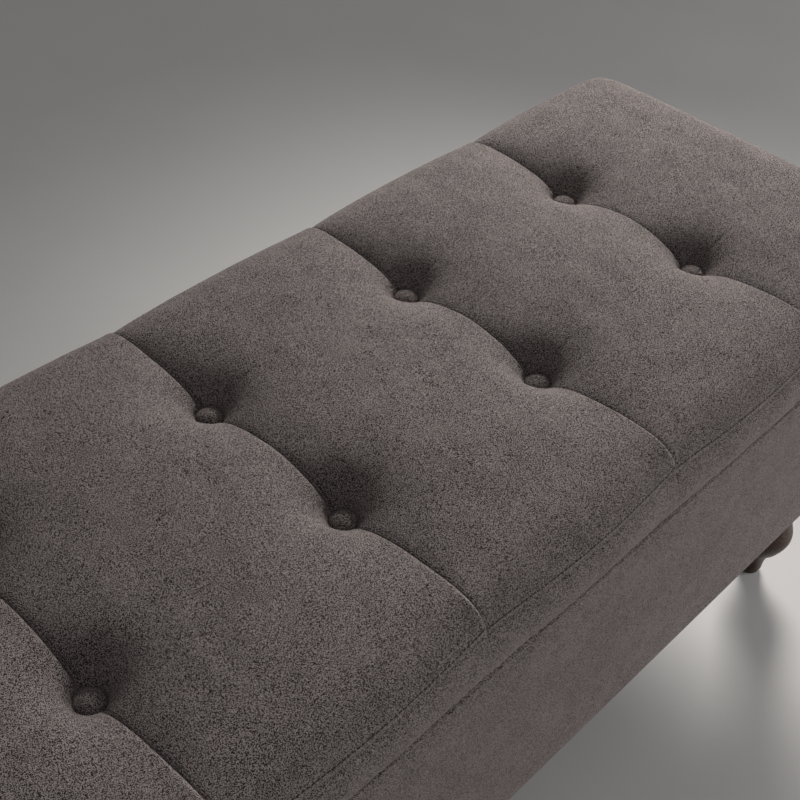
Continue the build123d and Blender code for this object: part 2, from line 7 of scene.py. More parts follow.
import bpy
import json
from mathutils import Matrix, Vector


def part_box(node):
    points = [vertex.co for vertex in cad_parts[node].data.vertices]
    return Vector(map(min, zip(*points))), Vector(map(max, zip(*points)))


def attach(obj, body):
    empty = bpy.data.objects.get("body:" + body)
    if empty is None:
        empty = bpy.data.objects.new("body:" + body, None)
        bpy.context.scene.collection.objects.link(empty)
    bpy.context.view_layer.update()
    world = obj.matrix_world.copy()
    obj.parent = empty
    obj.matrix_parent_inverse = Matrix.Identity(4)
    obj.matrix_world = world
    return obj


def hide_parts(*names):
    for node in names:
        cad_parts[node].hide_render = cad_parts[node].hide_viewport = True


bl_info = {
    "name": "Storage Bench Maker",
    "version": (1, 0, 0),
    "blender": (4, 5, 0),
    "location": "View3D > Sidebar > Bench",
    "description": "Makes the soft and finished pieces of an upholstered storage bench",
    "category": "Object",
}

import json
import math

import bmesh
import bpy
import numpy as np
from bpy.props import FloatProperty, FloatVectorProperty, IntProperty, PointerProperty
from mathutils import Matrix, Vector

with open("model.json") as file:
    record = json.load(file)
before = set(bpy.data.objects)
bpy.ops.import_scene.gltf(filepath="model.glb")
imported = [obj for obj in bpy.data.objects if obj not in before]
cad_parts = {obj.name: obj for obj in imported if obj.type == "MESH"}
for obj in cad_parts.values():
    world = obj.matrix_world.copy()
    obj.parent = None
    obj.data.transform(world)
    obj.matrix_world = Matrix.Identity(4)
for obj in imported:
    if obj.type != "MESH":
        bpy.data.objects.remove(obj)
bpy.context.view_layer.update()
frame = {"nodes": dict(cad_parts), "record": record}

MM = 0.001


# ---------------------------------------------------------------- places read from the frame
def node_box(name):
    """Lowest and highest corner of a CAD node, as arrays."""
    low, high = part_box(name)
    return np.array(low), np.array(high)


def panel_names():
    """The sewn top panels' nodes, from left to right."""
    names = [name for name in frame["nodes"] if name.startswith("seat_panel")]
    return sorted(names, key=lambda name: node_box(name)[0][0])


def islands(name):
    """Centres of a node's separate solids, from left to right, front to back and low to high."""
    mesh = bmesh.new()
    mesh.from_mesh(frame["nodes"][name].data)
    bmesh.ops.remove_doubles(mesh, verts=mesh.verts, dist=0.01 * MM)
    left, found = set(mesh.verts), []
    while left:
        reached, edge = set(), [left.pop()]
        while edge:
            vertex = edge.pop()
            reached.add(vertex)
            near = [e.other_vert(vertex) for e in vertex.link_edges]
            edge.extend(v for v in near if v in left)
            left.difference_update(near)
        places = np.array([v.co for v in reached])
        found.append((places.min(0) + places.max(0)) / 2)
    mesh.free()
    return sorted(found, key=lambda place: tuple(round(part, 3) for part in place))


panel_boxes = [node_box(name) for name in panel_names()]
seam_xs = np.array([low[0] for low, _ in panel_boxes] + [panel_boxes[-1][1][0]])
(_, seam_front, seam_z), (_, seam_back, _) = panel_boxes[0]
top_low, top_high = np.array([seam_xs[0], seam_front]), np.array([seam_xs[-1], seam_back])
button_places = islands("tufting_buttons")
button_rows = sorted({round(float(place[1]), 4) for place in button_places})
board_low, board_high = node_box("lid_board")


# ---------------------------------------------------------------- settings
def length(name, text, value):
    """A size in metres."""
    return FloatProperty(name=name, description=text, default=value, unit="LENGTH", precision=5)


def colour(name, text, value):
    """A linear colour."""
    return FloatVectorProperty(name=name, description=text, default=value, subtype="COLOR", min=0, max=1)


class BENCH_PG_cushion(bpy.types.PropertyGroup):
    """Shape of the padded lid"""
    crest: length("Crest", "Height of a panel's middle above the seam plane", 26 * MM)
    seam_crest: length("Seam crest", "Height of a cross seam midway between its buttons", 19.3 * MM)
    reach: length("Reach", "Distance over which the foam recovers from a seam", 24 * MM)
    edge_reach: length("Edge reach", "The same at the perimeter seam", 14 * MM)
    pit: length("Pit", "Depth of the cloth under a button below the seam plane", 6.4 * MM)
    bow: length("Bow", "How far the perimeter seam bows out between cross seams", 5 * MM)
    bulge: length("Bulge", "How far the band stands out below the perimeter seam", 6 * MM)
    foot_lip: length("Foot lip", "How far the band's lower edge stands out", 3.0 * MM)
    corner: length("Corner", "Plan radius of the perimeter seam's corners", 16 * MM)
    roll: length("Roll", "Radius of a panel's rolled edge at a cross seam", 3.8 * MM)
    lip: length("Lip", "How far a panel stands proud of the next at their seam", 1.9 * MM)
    crease: length("Crease", "Depth of the pull creases beside the buttons", 0.9 * MM)
    button_rise: length("Button rise", "How far the padded dome lifts a button's top", 2.4 * MM)
    back_in: length("Back slope", "How far the back perimeter seam lies inside the board's edge", 7 * MM)
    back_drop: length("Back drop", "How far the back perimeter seam lies below the front one", 6 * MM)
    edge_crease: length("Edge crease", "Depth of the crease at the perimeter seam", 2.2 * MM)
    pucker: length("Pucker", "Depth of the gathers along the perimeter seam", 0.3 * MM)
    stitch_line: length("Stitch line", "Cross seam to its top-stitching", 2.9 * MM)
    seed: IntProperty(name="Seed", description="Seed of the cushion's small unevenness", default=7)


class BENCH_PG_cloth(bpy.types.PropertyGroup):
    """Colours of the upholstery cloth"""
    dark: colour("Dark threads", "Colour of the darker threads", (0.0155, 0.0128, 0.0123))
    light: colour("Light threads", "Colour of the lighter threads", (0.285, 0.247, 0.238))
    thread: length("Thread", "Width of one thread", 0.6 * MM)


class BENCH_PG_finish(bpy.types.PropertyGroup):
    """Colours of wood, steel and lining"""
    stain: colour("Stain", "Dark stain of the legs", (0.022, 0.011, 0.007))
    stain_light: colour("Worn stain", "Stain where the grain shows", (0.060, 0.031, 0.018))
    plywood: colour("Plywood", "Face of the boards", (0.42, 0.28, 0.15))
    steel: colour("Steel", "Zinc-plated steel", (0.58, 0.58, 0.56))
    lining: colour("Lining", "Cloth inside the box", (0.030, 0.028, 0.028))


class BENCH_PG_stage(bpy.types.PropertyGroup):
    """Camera, light and floor"""
    place: FloatVectorProperty(name="Camera place", description="Where the camera stands",
                               default=(-0.5192, -0.4620, 1.0689), unit="LENGTH")
    azimuth: FloatProperty(name="Azimuth", description="Direction that the camera looks in, from +Y",
                           default=math.radians(-49.658), unit="ROTATION")
    elevation: FloatProperty(name="Elevation", description="Height of the camera above the horizon",
                             default=math.radians(42.639), unit="ROTATION")
    roll: FloatProperty(name="Roll", description="Turn of the camera about its view",
                        default=math.radians(-4.992), unit="ROTATION")
    lens: FloatProperty(name="Lens", description="Focal length on a 36 mm sensor, in mm", default=59.337)
    key: FloatProperty(name="Key light", description="Power of the softbox", default=5.6, unit="POWER")
    fill: FloatProperty(name="Fill light", description="Power of the fill", default=36, unit="POWER")
    sky: FloatProperty(name="Sky", description="Strength of the light from all round", default=0.225)


def settings(group):
    """One of the scene's setting groups."""
    return getattr(bpy.context.scene, f"bench_{group}")


# ---------------------------------------------------------------- mesh helpers
def new_object(name, vertices, faces, smooth=True):
    """A mesh object at the origin."""
    mesh = bpy.data.meshes.new(name)
    mesh.from_pydata([tuple(v) for v in vertices], [], [tuple(int(i) for i in f) for f in faces])
    mesh.validate()
    mesh.polygons.foreach_set("use_smooth", [smooth] * len(mesh.polygons))
    piece = bpy.data.objects.new(name, mesh)
    bpy.context.scene.collection.objects.link(piece)
    return piece


def finish_piece(piece, body, material, replaced=()):
    """Gives a piece its material and its body, and hides the nodes that it stands for."""
    piece.data.materials.clear()
    piece.data.materials.append(material)
    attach(piece, body)
    if replaced:
        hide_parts(*replaced)
    return piece


def outward(piece):
    """Merges doubles and points every face outwards."""
    mesh = bmesh.new()
    mesh.from_mesh(piece.data)
    bmesh.ops.remove_doubles(mesh, verts=mesh.verts, dist=0.002 * MM)
    bmesh.ops.recalc_face_normals(mesh, faces=mesh.faces)
    mesh.to_mesh(piece.data)
    mesh.free()
    return piece


def grid_faces(rows, columns, start=0):
    """Quads of a grid whose vertices run row by row."""
    index = start + np.arange(rows * columns).reshape(rows, columns)
    return np.stack([index[:-1, :-1], index[:-1, 1:], index[1:, 1:], index[1:, :-1]], -1).reshape(-1, 4)


def ring_faces(rings, count, start=0):
    """Quads between closed rings of count vertices each."""
    index = start + np.arange(rings * count).reshape(rings, count)
    after = np.roll(index, -1, axis=1)
    return np.stack([index[:-1], after[:-1], after[1:], index[1:]], -1).reshape(-1, 4)


def spaced(stops, fine, coarse, growth=1.28):
    """Coordinates through every stop, finely spaced beside it and coarsely between."""
    places = [stops[0]]
    for low, high in zip(stops[:-1], stops[1:]):
        half, steps, reached = (high - low) / 2, [], 0.0
        step = fine
        while reached + step < half:
            steps.append(step)
            reached += step
            step = min(step * growth, coarse)
        steps.append(half - reached)
        offsets = np.cumsum(steps)
        places.extend(low + offsets)
        places.extend((high - offsets)[-2::-1])
        places.append(high)
    return np.array(places)


def put_uv(piece, places):
    """A UV map from one 2-D place for each vertex."""
    layer = piece.data.uv_layers.new(name="cloth")
    corners = np.empty(len(piece.data.loops), int)
    piece.data.loops.foreach_get("vertex_index", corners)
    layer.data.foreach_set("uv", places[corners].astype(np.float32).ravel())


def edge_distance(x, y, low, high):
    """How far inside a rectangle's nearest side each place is."""
    return np.minimum.reduce([x - low[0], high[0] - x, y - low[1], high[1] - y])


# ---------------------------------------------------------------- cushion
def relaxed(free, held, values, reach, step):
    """Heights of cloth drawn over foam, by conjugate gradients.

    Each free point is pulled to the foam's own height and, over the distance reach, to its neighbours.
    """
    most_rounds, settled = 400, 1e-16
    weight = (step / reach) ** 2
    loose = ~held

    def pull(height):
        around = np.zeros_like(height)
        around[1:-1, 1:-1] = (height[:-2, 1:-1] + height[2:, 1:-1] + height[1:-1, :-2]
                              + height[1:-1, 2:] - 4 * height[1:-1, 1:-1])
        return (weight * height - around) * loose

    height = np.where(held, values, free)
    left = (weight * free) * loose - pull(height)
    step_way, size = left.copy(), float((left * left).sum())
    for _ in range(most_rounds):
        if size < settled:
            break
        drawn = pull(step_way)
        gain = size / float((step_way * drawn).sum())
        height = height + gain * step_way
        left = left - gain * drawn
        new_size = float((left * left).sum())
        step_way = left + (new_size / size) * step_way
        size = new_size
    return height


def cubic_rows(values, places):
    """Catmull-Rom interpolation along the first axis at fractional rows."""
    last = len(values) - 1
    base = np.clip(np.floor(places).astype(int), 0, last - 1)
    t = (places - base)[:, None]
    padded = np.concatenate([2 * values[:1] - values[1:2], values, 2 * values[-1:] - values[-2:-1]])
    p0, p1, p2, p3 = (padded[base + k] for k in range(4))
    return p1 + 0.5 * t * (p2 - p0 + t * (2 * p0 - 5 * p1 + 4 * p2 - p3 + t * (3 * (p1 - p2) + p3 - p0)))


def seam_profile(y, crest):
    """Height of a cross seam: humps that fall to nothing at the buttons and at the perimeter."""
    well, rise, edge_rise, back_run = 10.5 * MM, 24 * MM, 9 * MM, 40 * MM
    away = np.min([np.abs(y - row) for row in button_rows], axis=0)
    edge = np.minimum(y - seam_front, seam_back - y)
    hump = 1 - np.exp(-np.clip(away - well, 0, None) / rise)
    flatter_back = 1 - 0.25 * np.clip((y - button_rows[-1]) / back_run, 0, 1)
    return crest * hump * (1 - np.exp(-edge / edge_rise)) * flatter_back


def smooth_noise(x, y, size, seed):
    """Even, seeded unevenness between -1 and 1 at about one size."""
    rng = np.random.default_rng(seed)
    total = np.zeros(np.broadcast(x, y).shape)
    for _ in range(10):
        angle, phase = rng.uniform(0, 2 * math.pi, 2)
        wave = 2 * math.pi / (size * rng.uniform(0.7, 1.6))
        total = total + np.sin(wave * (x * math.cos(angle) + y * math.sin(angle)) + phase)
    return total / 4.5


def panel_heights(xs, ys, shape):
    """Height of the top above the seam plane at every crossing of xs and ys."""
    step, button_hold, edge_zone = 2 * MM, 8.5 * MM, 45 * MM
    count_x = round((seam_xs[-1] - seam_xs[0]) / step) + 1
    count_y = round((seam_back - seam_front) / step) + 1
    grid_x = seam_xs[0] + step * np.arange(count_x)
    grid_y = seam_front + step * np.arange(count_y)
    gx, gy = np.meshgrid(grid_x, grid_y, indexing="ij")
    held, values = np.zeros(gx.shape, bool), np.zeros(gx.shape)
    for seam in seam_xs[1:-1]:
        column = round((seam - seam_xs[0]) / step)
        held[column], values[column] = True, seam_profile(grid_y, shape.seam_crest)
    for index, (bx, by, _) in enumerate(button_places):
        under = np.hypot(gx - bx, gy - by) < button_hold
        held |= under
        values[under] = -shape.pit * (1 + 0.12 * math.sin(3.1 * index))
    held[[0, -1]], values[[0, -1]] = True, 0
    held[:, [0, -1]], values[:, [0, -1]] = True, 0
    inward = np.clip(edge_distance(gx, gy, top_low, top_high) / edge_zone, 0, 1)
    reach = shape.edge_reach + (shape.reach - shape.edge_reach) * inward
    free = shape.crest * (1 + 0.05 * smooth_noise(gx, gy, 0.22, shape.seed))
    height = relaxed(free, held, values, reach, step)
    rows, hair = [], 1e-9
    for low, high in zip(seam_xs[:-1], seam_xs[1:]):
        first, last = (round((x - seam_xs[0]) / step) for x in (low, high))
        end = np.inf if high == seam_xs[-1] else high - hair
        inside = xs[(xs >= low - hair) & (xs < end)]
        rows.append(cubic_rows(height[first:last + 1], (inside - low) / step))
    across = np.concatenate(rows)
    return cubic_rows(across.T, (ys - seam_front) / step).T


def rounded(x, y, low, high, radius):
    """Moves the corners of a rectangle's grid on to arcs of a radius."""
    middle, half = (low + high) / 2, (high - low) / 2
    dx, dy = x - middle[0], y - middle[1]
    ox = np.clip((np.abs(dx) - half[0] + radius) / radius, 0, None)
    oy = np.clip((np.abs(dy) - half[1] + radius) / radius, 0, None)
    shrink = np.where((ox > 0) & (oy > 0), np.maximum(ox, oy) / np.maximum(np.hypot(ox, oy), 1e-9), 1)
    new_x = np.where(ox > 0, half[0] - radius + ox * shrink * radius, np.abs(dx))
    new_y = np.where(oy > 0, half[1] - radius + oy * shrink * radius, np.abs(dy))
    return middle[0] + np.sign(dx) * new_x, middle[1] + np.sign(dy) * new_y


def between_seams(x):
    """0 at each cross seam, rising to 1 midway between two."""
    panel = np.clip(np.searchsorted(seam_xs, x, side="right") - 1, 0, len(seam_xs) - 2)
    share = (x - seam_xs[panel]) / (seam_xs[panel + 1] - seam_xs[panel])
    return np.sin(math.pi * np.clip(share, 0, 1)) ** 1.2


def pull_creases(x, y, depth):
    """Fine folds that run from each button along the bench and fade."""
    total = np.zeros(x.shape)
    width, start, rise, reaches = 1.25 * MM, 8 * MM, 6 * MM, {-1: 58 * MM, 1: 46 * MM}
    for index, (bx, by, _) in enumerate(button_places):
        for side, usual in reaches.items():
            away = side * (x - bx)
            reach = usual * (1 + 0.15 * math.sin(2.3 * index))
            drift = 0.05 * math.sin(1.7 * index + side) * away
            off = (y - by - drift) / width
            fade = np.clip((away - start) / rise, 0, 1) * np.clip(1 - away / reach, 0, 1) ** 0.6
            total += fade * (np.exp(-off ** 2) - 0.35 * np.exp(-((off - 2.2) / 1.6) ** 2))
    return -depth * total


def seam_features(x, y, shape):
    """The cross seams: the left panel's edge rolls over and stands proud, the right one's is drawn down.

    The top-stitching on the right panel sinks into a fine line.
    """
    total = np.zeros(x.shape)
    lip_run, groove, drawn_run, drawn_start = 8 * MM, 0.9 * MM, 9 * MM, 0.6 * MM
    line_depth, line_width = 0.4 * MM, 0.5 * MM
    for seam in seam_xs[1:-1]:
        off = x - seam
        left, right = np.clip(-off, 0, None), np.clip(off, 0, None)
        roll = np.clip(1 - left / shape.roll, 0, 1)
        drawn = 0.5 * shape.lip * np.exp(-right / drawn_run) * (1 - np.exp(-right / drawn_start))
        total -= (off <= 0) * shape.roll * (1 - np.sqrt(1 - roll ** 2))
        total += (off <= 0) * shape.lip * np.exp(-left / lip_run)
        total -= (off > 0) * (shape.roll - shape.lip) * np.exp(-(right / groove) ** 2)
        total -= (off > 0) * drawn
        total -= line_depth * np.exp(-((off - shape.stitch_line) / line_width) ** 2)
    return total


def cushion_top(shape):
    """Places of the top's grid, and the rest places that its cloth map uses."""
    fine_x, fine_y, coarse = 0.45 * MM, 0.8 * MM, 4.2 * MM
    bow_run, in_run, drop_run, pucker_run, crease_run = 35 * MM, 30 * MM, 22 * MM, 4 * MM, 0.7 * MM
    xs = spaced(list(seam_xs), fine_x, coarse)
    ys = spaced([seam_front, *button_rows, seam_back], fine_y, coarse)
    x, y = np.meshgrid(xs, ys, indexing="ij")
    height = panel_heights(xs, ys, shape)
    height = height + seam_features(x, y, shape) + pull_creases(x, y, shape.crease)
    uneven = 0.35 * MM * smooth_noise(x, y, 0.035, shape.seed + 1)
    height = height + uneven * np.clip(height / shape.crest, 0, 1)
    px, py = rounded(x, y, top_low, top_high, shape.corner)
    front = np.exp(-(y - seam_front) / bow_run)
    back = np.exp(-(seam_back - y) / bow_run)
    py = py + shape.bow * between_seams(x) * (0.6 * back - front)
    end = np.exp(-(seam_xs[-1] - np.abs(x)) / bow_run) * np.sign(x)
    across = np.sin(math.pi * np.clip((y - seam_front) / (seam_back - seam_front), 0, 1))
    px = px + 0.2 * shape.bow * end * across
    py = py - shape.back_in * np.exp(-(seam_back - y) / in_run)
    height = height - shape.back_drop * np.exp(-(seam_back - y) / drop_run)
    edge = edge_distance(x, y, top_low, top_high)
    gather = np.sin(2 * math.pi * (x + y) / (7.3 * MM)) * np.sin(2 * math.pi * (x - y) / (31 * MM) + 0.7)
    height = height + shape.pucker * gather * np.exp(-edge / pucker_run) * (edge > 0)
    sunk, beside = shape.edge_crease * np.exp(-(edge / crease_run) ** 2), 2 * MM
    height = height - sunk
    px = px - 0.6 * sunk * np.sign(x) * (np.abs(x) > seam_xs[-1] - beside)
    py = py - 0.6 * sunk * np.sign(y) * ((y < seam_front + beside) | (y > seam_back - beside))
    return np.stack([px, py, seam_z + height], -1), np.stack([x, y], -1)


def border(grid):
    """A grid's outer loop, anticlockwise from its low corner."""
    return np.concatenate([grid[:-1, 0], grid[-1, :-1], grid[:0:-1, -1], grid[0, :0:-1]])


def loop_normals(loop):
    """Outward unit normals of an anticlockwise loop in plan."""
    way = np.roll(loop, -1, 0)[:, :2] - np.roll(loop, 1, 0)[:, :2]
    normal = np.stack([way[:, 1], -way[:, 0]], -1)
    return normal / np.linalg.norm(normal, axis=1)[:, None]


def band_rings(top_loop, flat_loop, shape):
    """Rings from the perimeter seam down the band, under the board's edge and back over it."""
    wrap, turned, foot_corner, gap = 1.5 * MM, 1.6 * MM, 7 * MM, 0.1 * MM
    low_corner, high_corner = board_low[:2] - wrap, board_high[:2] + wrap
    high_corner[1] = node_box("back_band")[1][1] - shape.foot_lip
    share = (flat_loop - top_low) / (top_high - top_low)
    at_edge = low_corner + share * (high_corner - low_corner)
    foot = np.stack(rounded(at_edge[:, 0], at_edge[:, 1], low_corner, high_corner, foot_corner), -1)
    normal = loop_normals(foot)
    full = 0.72 + 0.28 * between_seams(flat_loop[:, 0])
    end = np.abs(normal[:, 0])[:, None]
    full = full[:, None] * (1 - end) + end
    bottom = board_low[2] - wrap
    rings = []
    for drop in (0.01, 0.025, 0.05, *np.linspace(0.08, 0.88, 23), 0.91, 0.93, 0.945, 0.96, 0.97):
        swell = max(math.sin(math.pi * min(drop / 0.92, 1)), 0.0) ** 0.55
        out = shape.bulge * swell * full + shape.foot_lip * math.exp(-((drop - 0.98) / 0.035) ** 2)
        plan = (1 - drop) * top_loop[:, :2] + drop * foot + normal * out
        plan += normal * (0.25 * MM * smooth_noise(flat_loop[:, :1], flat_loop[:, 1:], 0.05, 3 + shape.seed))
        height = (1 - drop) * top_loop[:, 2] + drop * (bottom + turned)
        rings.append(np.column_stack([plan, height]))
    for angle in np.radians((0, 30, 60, 90)):
        out = shape.foot_lip - turned * (1 - math.cos(angle))
        z = bottom + turned * (1 - math.sin(angle))
        rings.append(np.column_stack([foot + normal * out, np.full(len(foot), z)]))

    def ring(low, high, z):
        plan = low + share * (high - low)
        return np.column_stack([plan, np.full(len(plan), z)])

    opening = [corner[:2] for corner in node_box("lid_lining")]
    board = board_low[:2] - gap, board_high[:2] + gap
    rings += [ring(*opening, bottom), ring(*opening, board_low[2] - gap),
              ring(*board, board_low[2] - gap), ring(*board, board_high[2] + gap)]
    middle = (low_corner + high_corner) / 2
    inner = 0.2 * (middle - board_low[:2])
    return [*rings, ring(middle - inner, middle + inner, board_high[2] + gap)]


def make_cushion():
    """The padded lid: sewn panels, band and folded edge as one closed form round the board."""
    shape = settings("cushion")
    top, flat = cushion_top(shape)
    rows, columns = top.shape[:2]
    top_faces = grid_faces(rows, columns)[:, ::-1]
    loop, flat_loop = border(top), border(flat)
    rings = band_rings(loop, flat_loop, shape)
    index = np.arange(rows * columns).reshape(rows, columns)
    start, count = rows * columns, len(loop)
    edge = border(index)
    after = np.roll(edge, -1)
    first = start + np.arange(count)
    join = np.stack([edge, first, np.roll(first, -1), after], -1)
    side_faces = ring_faces(len(rings), count, start)[:, ::-1]
    last = start + (len(rings) - 1) * count + np.arange(count)
    vertices = np.concatenate([top.reshape(-1, 3), *rings])
    faces = [*top_faces, *join, *side_faces, last]
    piece = new_object("seat_cushion", vertices, faces)
    around = np.cumsum(np.linalg.norm(np.roll(flat_loop, -1, 0) - flat_loop, axis=1))
    down = np.cumsum([0.0] + [float(np.linalg.norm(b[0] - a[0])) for a, b in zip(rings[:-1], rings[1:])])
    apart = 50 * MM
    sides = [np.column_stack([around, np.full(count, seam_front - apart - d)]) for d in down]
    put_uv(piece, np.concatenate([flat.reshape(-1, 2), *sides]))
    return outward(piece)


# ---------------------------------------------------------------- node helpers
def feed(tree, node, inputs):
    """Links or sets a node's inputs, and returns the node."""
    for socket, value in inputs.items():
        if isinstance(value, bpy.types.NodeSocket):
            tree.links.new(value, node.inputs[socket])
        else:
            node.inputs[socket].default_value = value
    return node


def add(tree, kind, inputs=(), out=0, **properties):
    """A node with its properties and inputs set; returns one of its outputs."""
    node = tree.nodes.new(kind)
    for name, value in properties.items():
        setattr(node, name, value)
    return feed(tree, node, dict(inputs)).outputs[out]


def new_group(name, kind, inputs, outputs):
    """A node group with its sockets; returns it, its given values and a function that puts results out."""
    tree = bpy.data.node_groups.new(name, kind)
    for title, (value_kind, value) in inputs.items():
        socket = tree.interface.new_socket(title, in_out="INPUT", socket_type=f"NodeSocket{value_kind}")
        if value is not None:
            socket.default_value = value
    for title, value_kind in outputs.items():
        tree.interface.new_socket(title, in_out="OUTPUT", socket_type=f"NodeSocket{value_kind}")
    given = tree.nodes.new("NodeGroupInput").outputs
    results = tree.nodes.new("NodeGroupOutput").inputs

    def put_out(**values):
        for title, value in values.items():
            tree.links.new(value, results[title])
        return tree

    return tree, given, put_out


def shared(name, maker):
    """A node group, built once."""
    return bpy.data.node_groups.get(name) or maker(name)


def maths(tree, operation, *values):
    """A Math node."""
    return add(tree, "ShaderNodeMath", dict(enumerate(values)), operation=operation)


def plus(tree, value, other, factor):
    """A value and a factor's worth of another."""
    return maths(tree, "ADD", value, maths(tree, "MULTIPLY", other, factor))


def mix(tree, factor, a, b):
    """A colour mix."""
    return add(tree, "ShaderNodeMix", {0: factor, 6: a, 7: b}, out=2, data_type="RGBA")


def between(tree, value, low, high, new_low=0.0, new_high=1.0):
    """A smooth, clamped map of a value on to a new range."""
    return add(tree, "ShaderNodeMapRange", {0: value, 1: low, 2: high, 3: new_low, 4: new_high},
               interpolation_type="SMOOTHSTEP")


def scaled(tree, vector, scale, rotation=(0, 0, 0)):
    """A Mapping node."""
    return add(tree, "ShaderNodeMapping", {"Vector": vector, "Scale": scale, "Rotation": rotation})


def noise(tree, vector, scale, detail=2.0, roughness=0.5):
    """A Noise texture's value."""
    return add(tree, "ShaderNodeTexNoise", {"Vector": vector, "Scale": scale, "Detail": detail,
                                            "Roughness": roughness})


def cells(tree, vector, scale, out=0, randomness=1.0):
    """A Voronoi texture's distance, or its colour."""
    return add(tree, "ShaderNodeTexVoronoi", {"Vector": vector, "Scale": scale, "Randomness": randomness},
               out=out)


def split(tree, vector):
    """A vector's three parts."""
    node = tree.nodes.new("ShaderNodeSeparateXYZ")
    tree.links.new(vector, node.inputs[0])
    return node.outputs


def twist(tree, vector, scale, distortion):
    """Slanting bands, as of twisted thread."""
    return add(tree, "ShaderNodeTexWave", {"Vector": vector, "Scale": scale, "Distortion": distortion}, out=1,
               bands_direction="DIAGONAL")


def rgba(tone, factor=1.0):
    """A property's colour with alpha."""
    return tuple(c * factor for c in tone) + (1.0,)


# ---------------------------------------------------------------- shared effects
def heather_group(name):
    """Short-piled cloth of mixed dark and light yarns."""
    tree, given, put_out = new_group(
        name, "ShaderNodeTree",
        {"Vector": ("Vector", None), "Dark": ("Color", None), "Light": ("Color", None),
         "Thread": ("Float", 0.7 * MM), "Cloud": ("Float", 0.5)},
        {"Color": "Color", "Height": "Float", "Roughness": "Float"})
    place = given["Vector"]
    per_thread = maths(tree, "DIVIDE", 1.0, given["Thread"])
    yarn = noise(tree, scaled(tree, place, (1.0, 0.7, 1.0), (0, 0, 0.35)), per_thread, 2.0, 0.6)
    cross = noise(tree, scaled(tree, place, (0.6, 1.0, 1.0), (0, 0, -0.25)),
                  maths(tree, "MULTIPLY", per_thread, 1.3), 1.0, 0.5)
    fleck = between(tree, plus(tree, yarn, cross, 0.75), 0.835, 0.915)
    knots = cells(tree, place, maths(tree, "MULTIPLY", per_thread, 0.9))
    cloud = noise(tree, place, 34.0, 3.0, 0.6)
    nap = noise(tree, scaled(tree, place, (1.0, 2.2, 1.0), (0, 0, 0.5)), 95.0, 2.0, 0.5)
    share = plus(tree, fleck, maths(tree, "SUBTRACT", cloud, 0.5), given["Cloud"])
    share = plus(tree, share, maths(tree, "SUBTRACT", nap, 0.5), 0.22)
    share = add(tree, "ShaderNodeClamp", {0: share})
    pile = maths(tree, "SUBTRACT", maths(tree, "ADD", yarn, cross), maths(tree, "MULTIPLY", knots, 0.9))
    return put_out(Color=mix(tree, share, given["Dark"], given["Light"]), Height=pile,
                   Roughness=between(tree, share, 0.0, 1.0, 0.98, 0.86))


def weave_group(name):
    """Plain weave: warp over weft, thread by thread."""
    tree, given, put_out = new_group(
        name, "ShaderNodeTree", {"Vector": ("Vector", None), "Thread": ("Float", 0.6 * MM)},
        {"Height": "Float", "Shade": "Float"})
    axes = split(tree, given["Vector"])
    turn = maths(tree, "DIVIDE", math.pi, given["Thread"])
    along = maths(tree, "MULTIPLY", maths(tree, "ADD", axes[0], axes[2]), turn)
    across = maths(tree, "MULTIPLY", maths(tree, "ADD", axes[1], axes[2]), turn)
    over = maths(tree, "MULTIPLY", maths(tree, "SINE", along), maths(tree, "SINE", across))
    warp = maths(tree, "ABSOLUTE", maths(tree, "COSINE", along))
    weft = maths(tree, "ABSOLUTE", maths(tree, "COSINE", across))
    height = plus(tree, maths(tree, "MULTIPLY", over, 0.5), warp, weft)
    slub = noise(tree, scaled(tree, given["Vector"], (0.08, 1.0, 1.0)), 900.0, 2.0, 0.6)
    return put_out(Height=height, Shade=plus(tree, slub, height, 0.35))


def grain_group(name):
    """Long wood grain with pores and slow colour change."""
    tree, given, put_out = new_group(
        name, "ShaderNodeTree",
        {"Vector": ("Vector", None), "Dark": ("Color", None), "Light": ("Color", None),
         "Rings": ("Float", 60.0)},
        {"Color": "Color", "Pores": "Float", "Roughness": "Float"})
    place = given["Vector"]
    drift = add(tree, "ShaderNodeTexNoise", {"Vector": place, "Scale": 9.0}, out=1)
    warped = add(tree, "ShaderNodeVectorMath", {0: place, 1: drift, 2: (0.012, 0.012, 0.012)},
                 operation="MULTIPLY_ADD")
    warped = add(tree, "ShaderNodeVectorMath", {0: place, 1: warped}, operation="ADD")
    rings = add(tree, "ShaderNodeTexWave",
                {"Vector": scaled(tree, warped, (1, 1, 0.06)), "Scale": given["Rings"],
                 "Distortion": 3.5, "Detail": 3.0, "Detail Scale": 1.6}, out=1, wave_type="RINGS",
                rings_direction="Z")
    fibres = noise(tree, scaled(tree, place, (1, 1, 0.035)), 900.0, 3.0, 0.6)
    pores = between(tree, noise(tree, scaled(tree, place, (1, 1, 0.05)), 1500.0, 1.0, 0.4), 0.30, 0.42)
    share = plus(tree, maths(tree, "MULTIPLY", rings, 0.55), fibres, 0.5)
    depth = maths(tree, "ADD", maths(tree, "MULTIPLY", pores, 0.6), 0.4)
    share = maths(tree, "MULTIPLY", between(tree, share, 0.2, 0.9), depth)
    return put_out(Color=mix(tree, share, given["Dark"], given["Light"]),
                   Pores=plus(tree, pores, fibres, 0.4),
                   Roughness=between(tree, fibres, 0.2, 0.8, 0.38, 0.55))


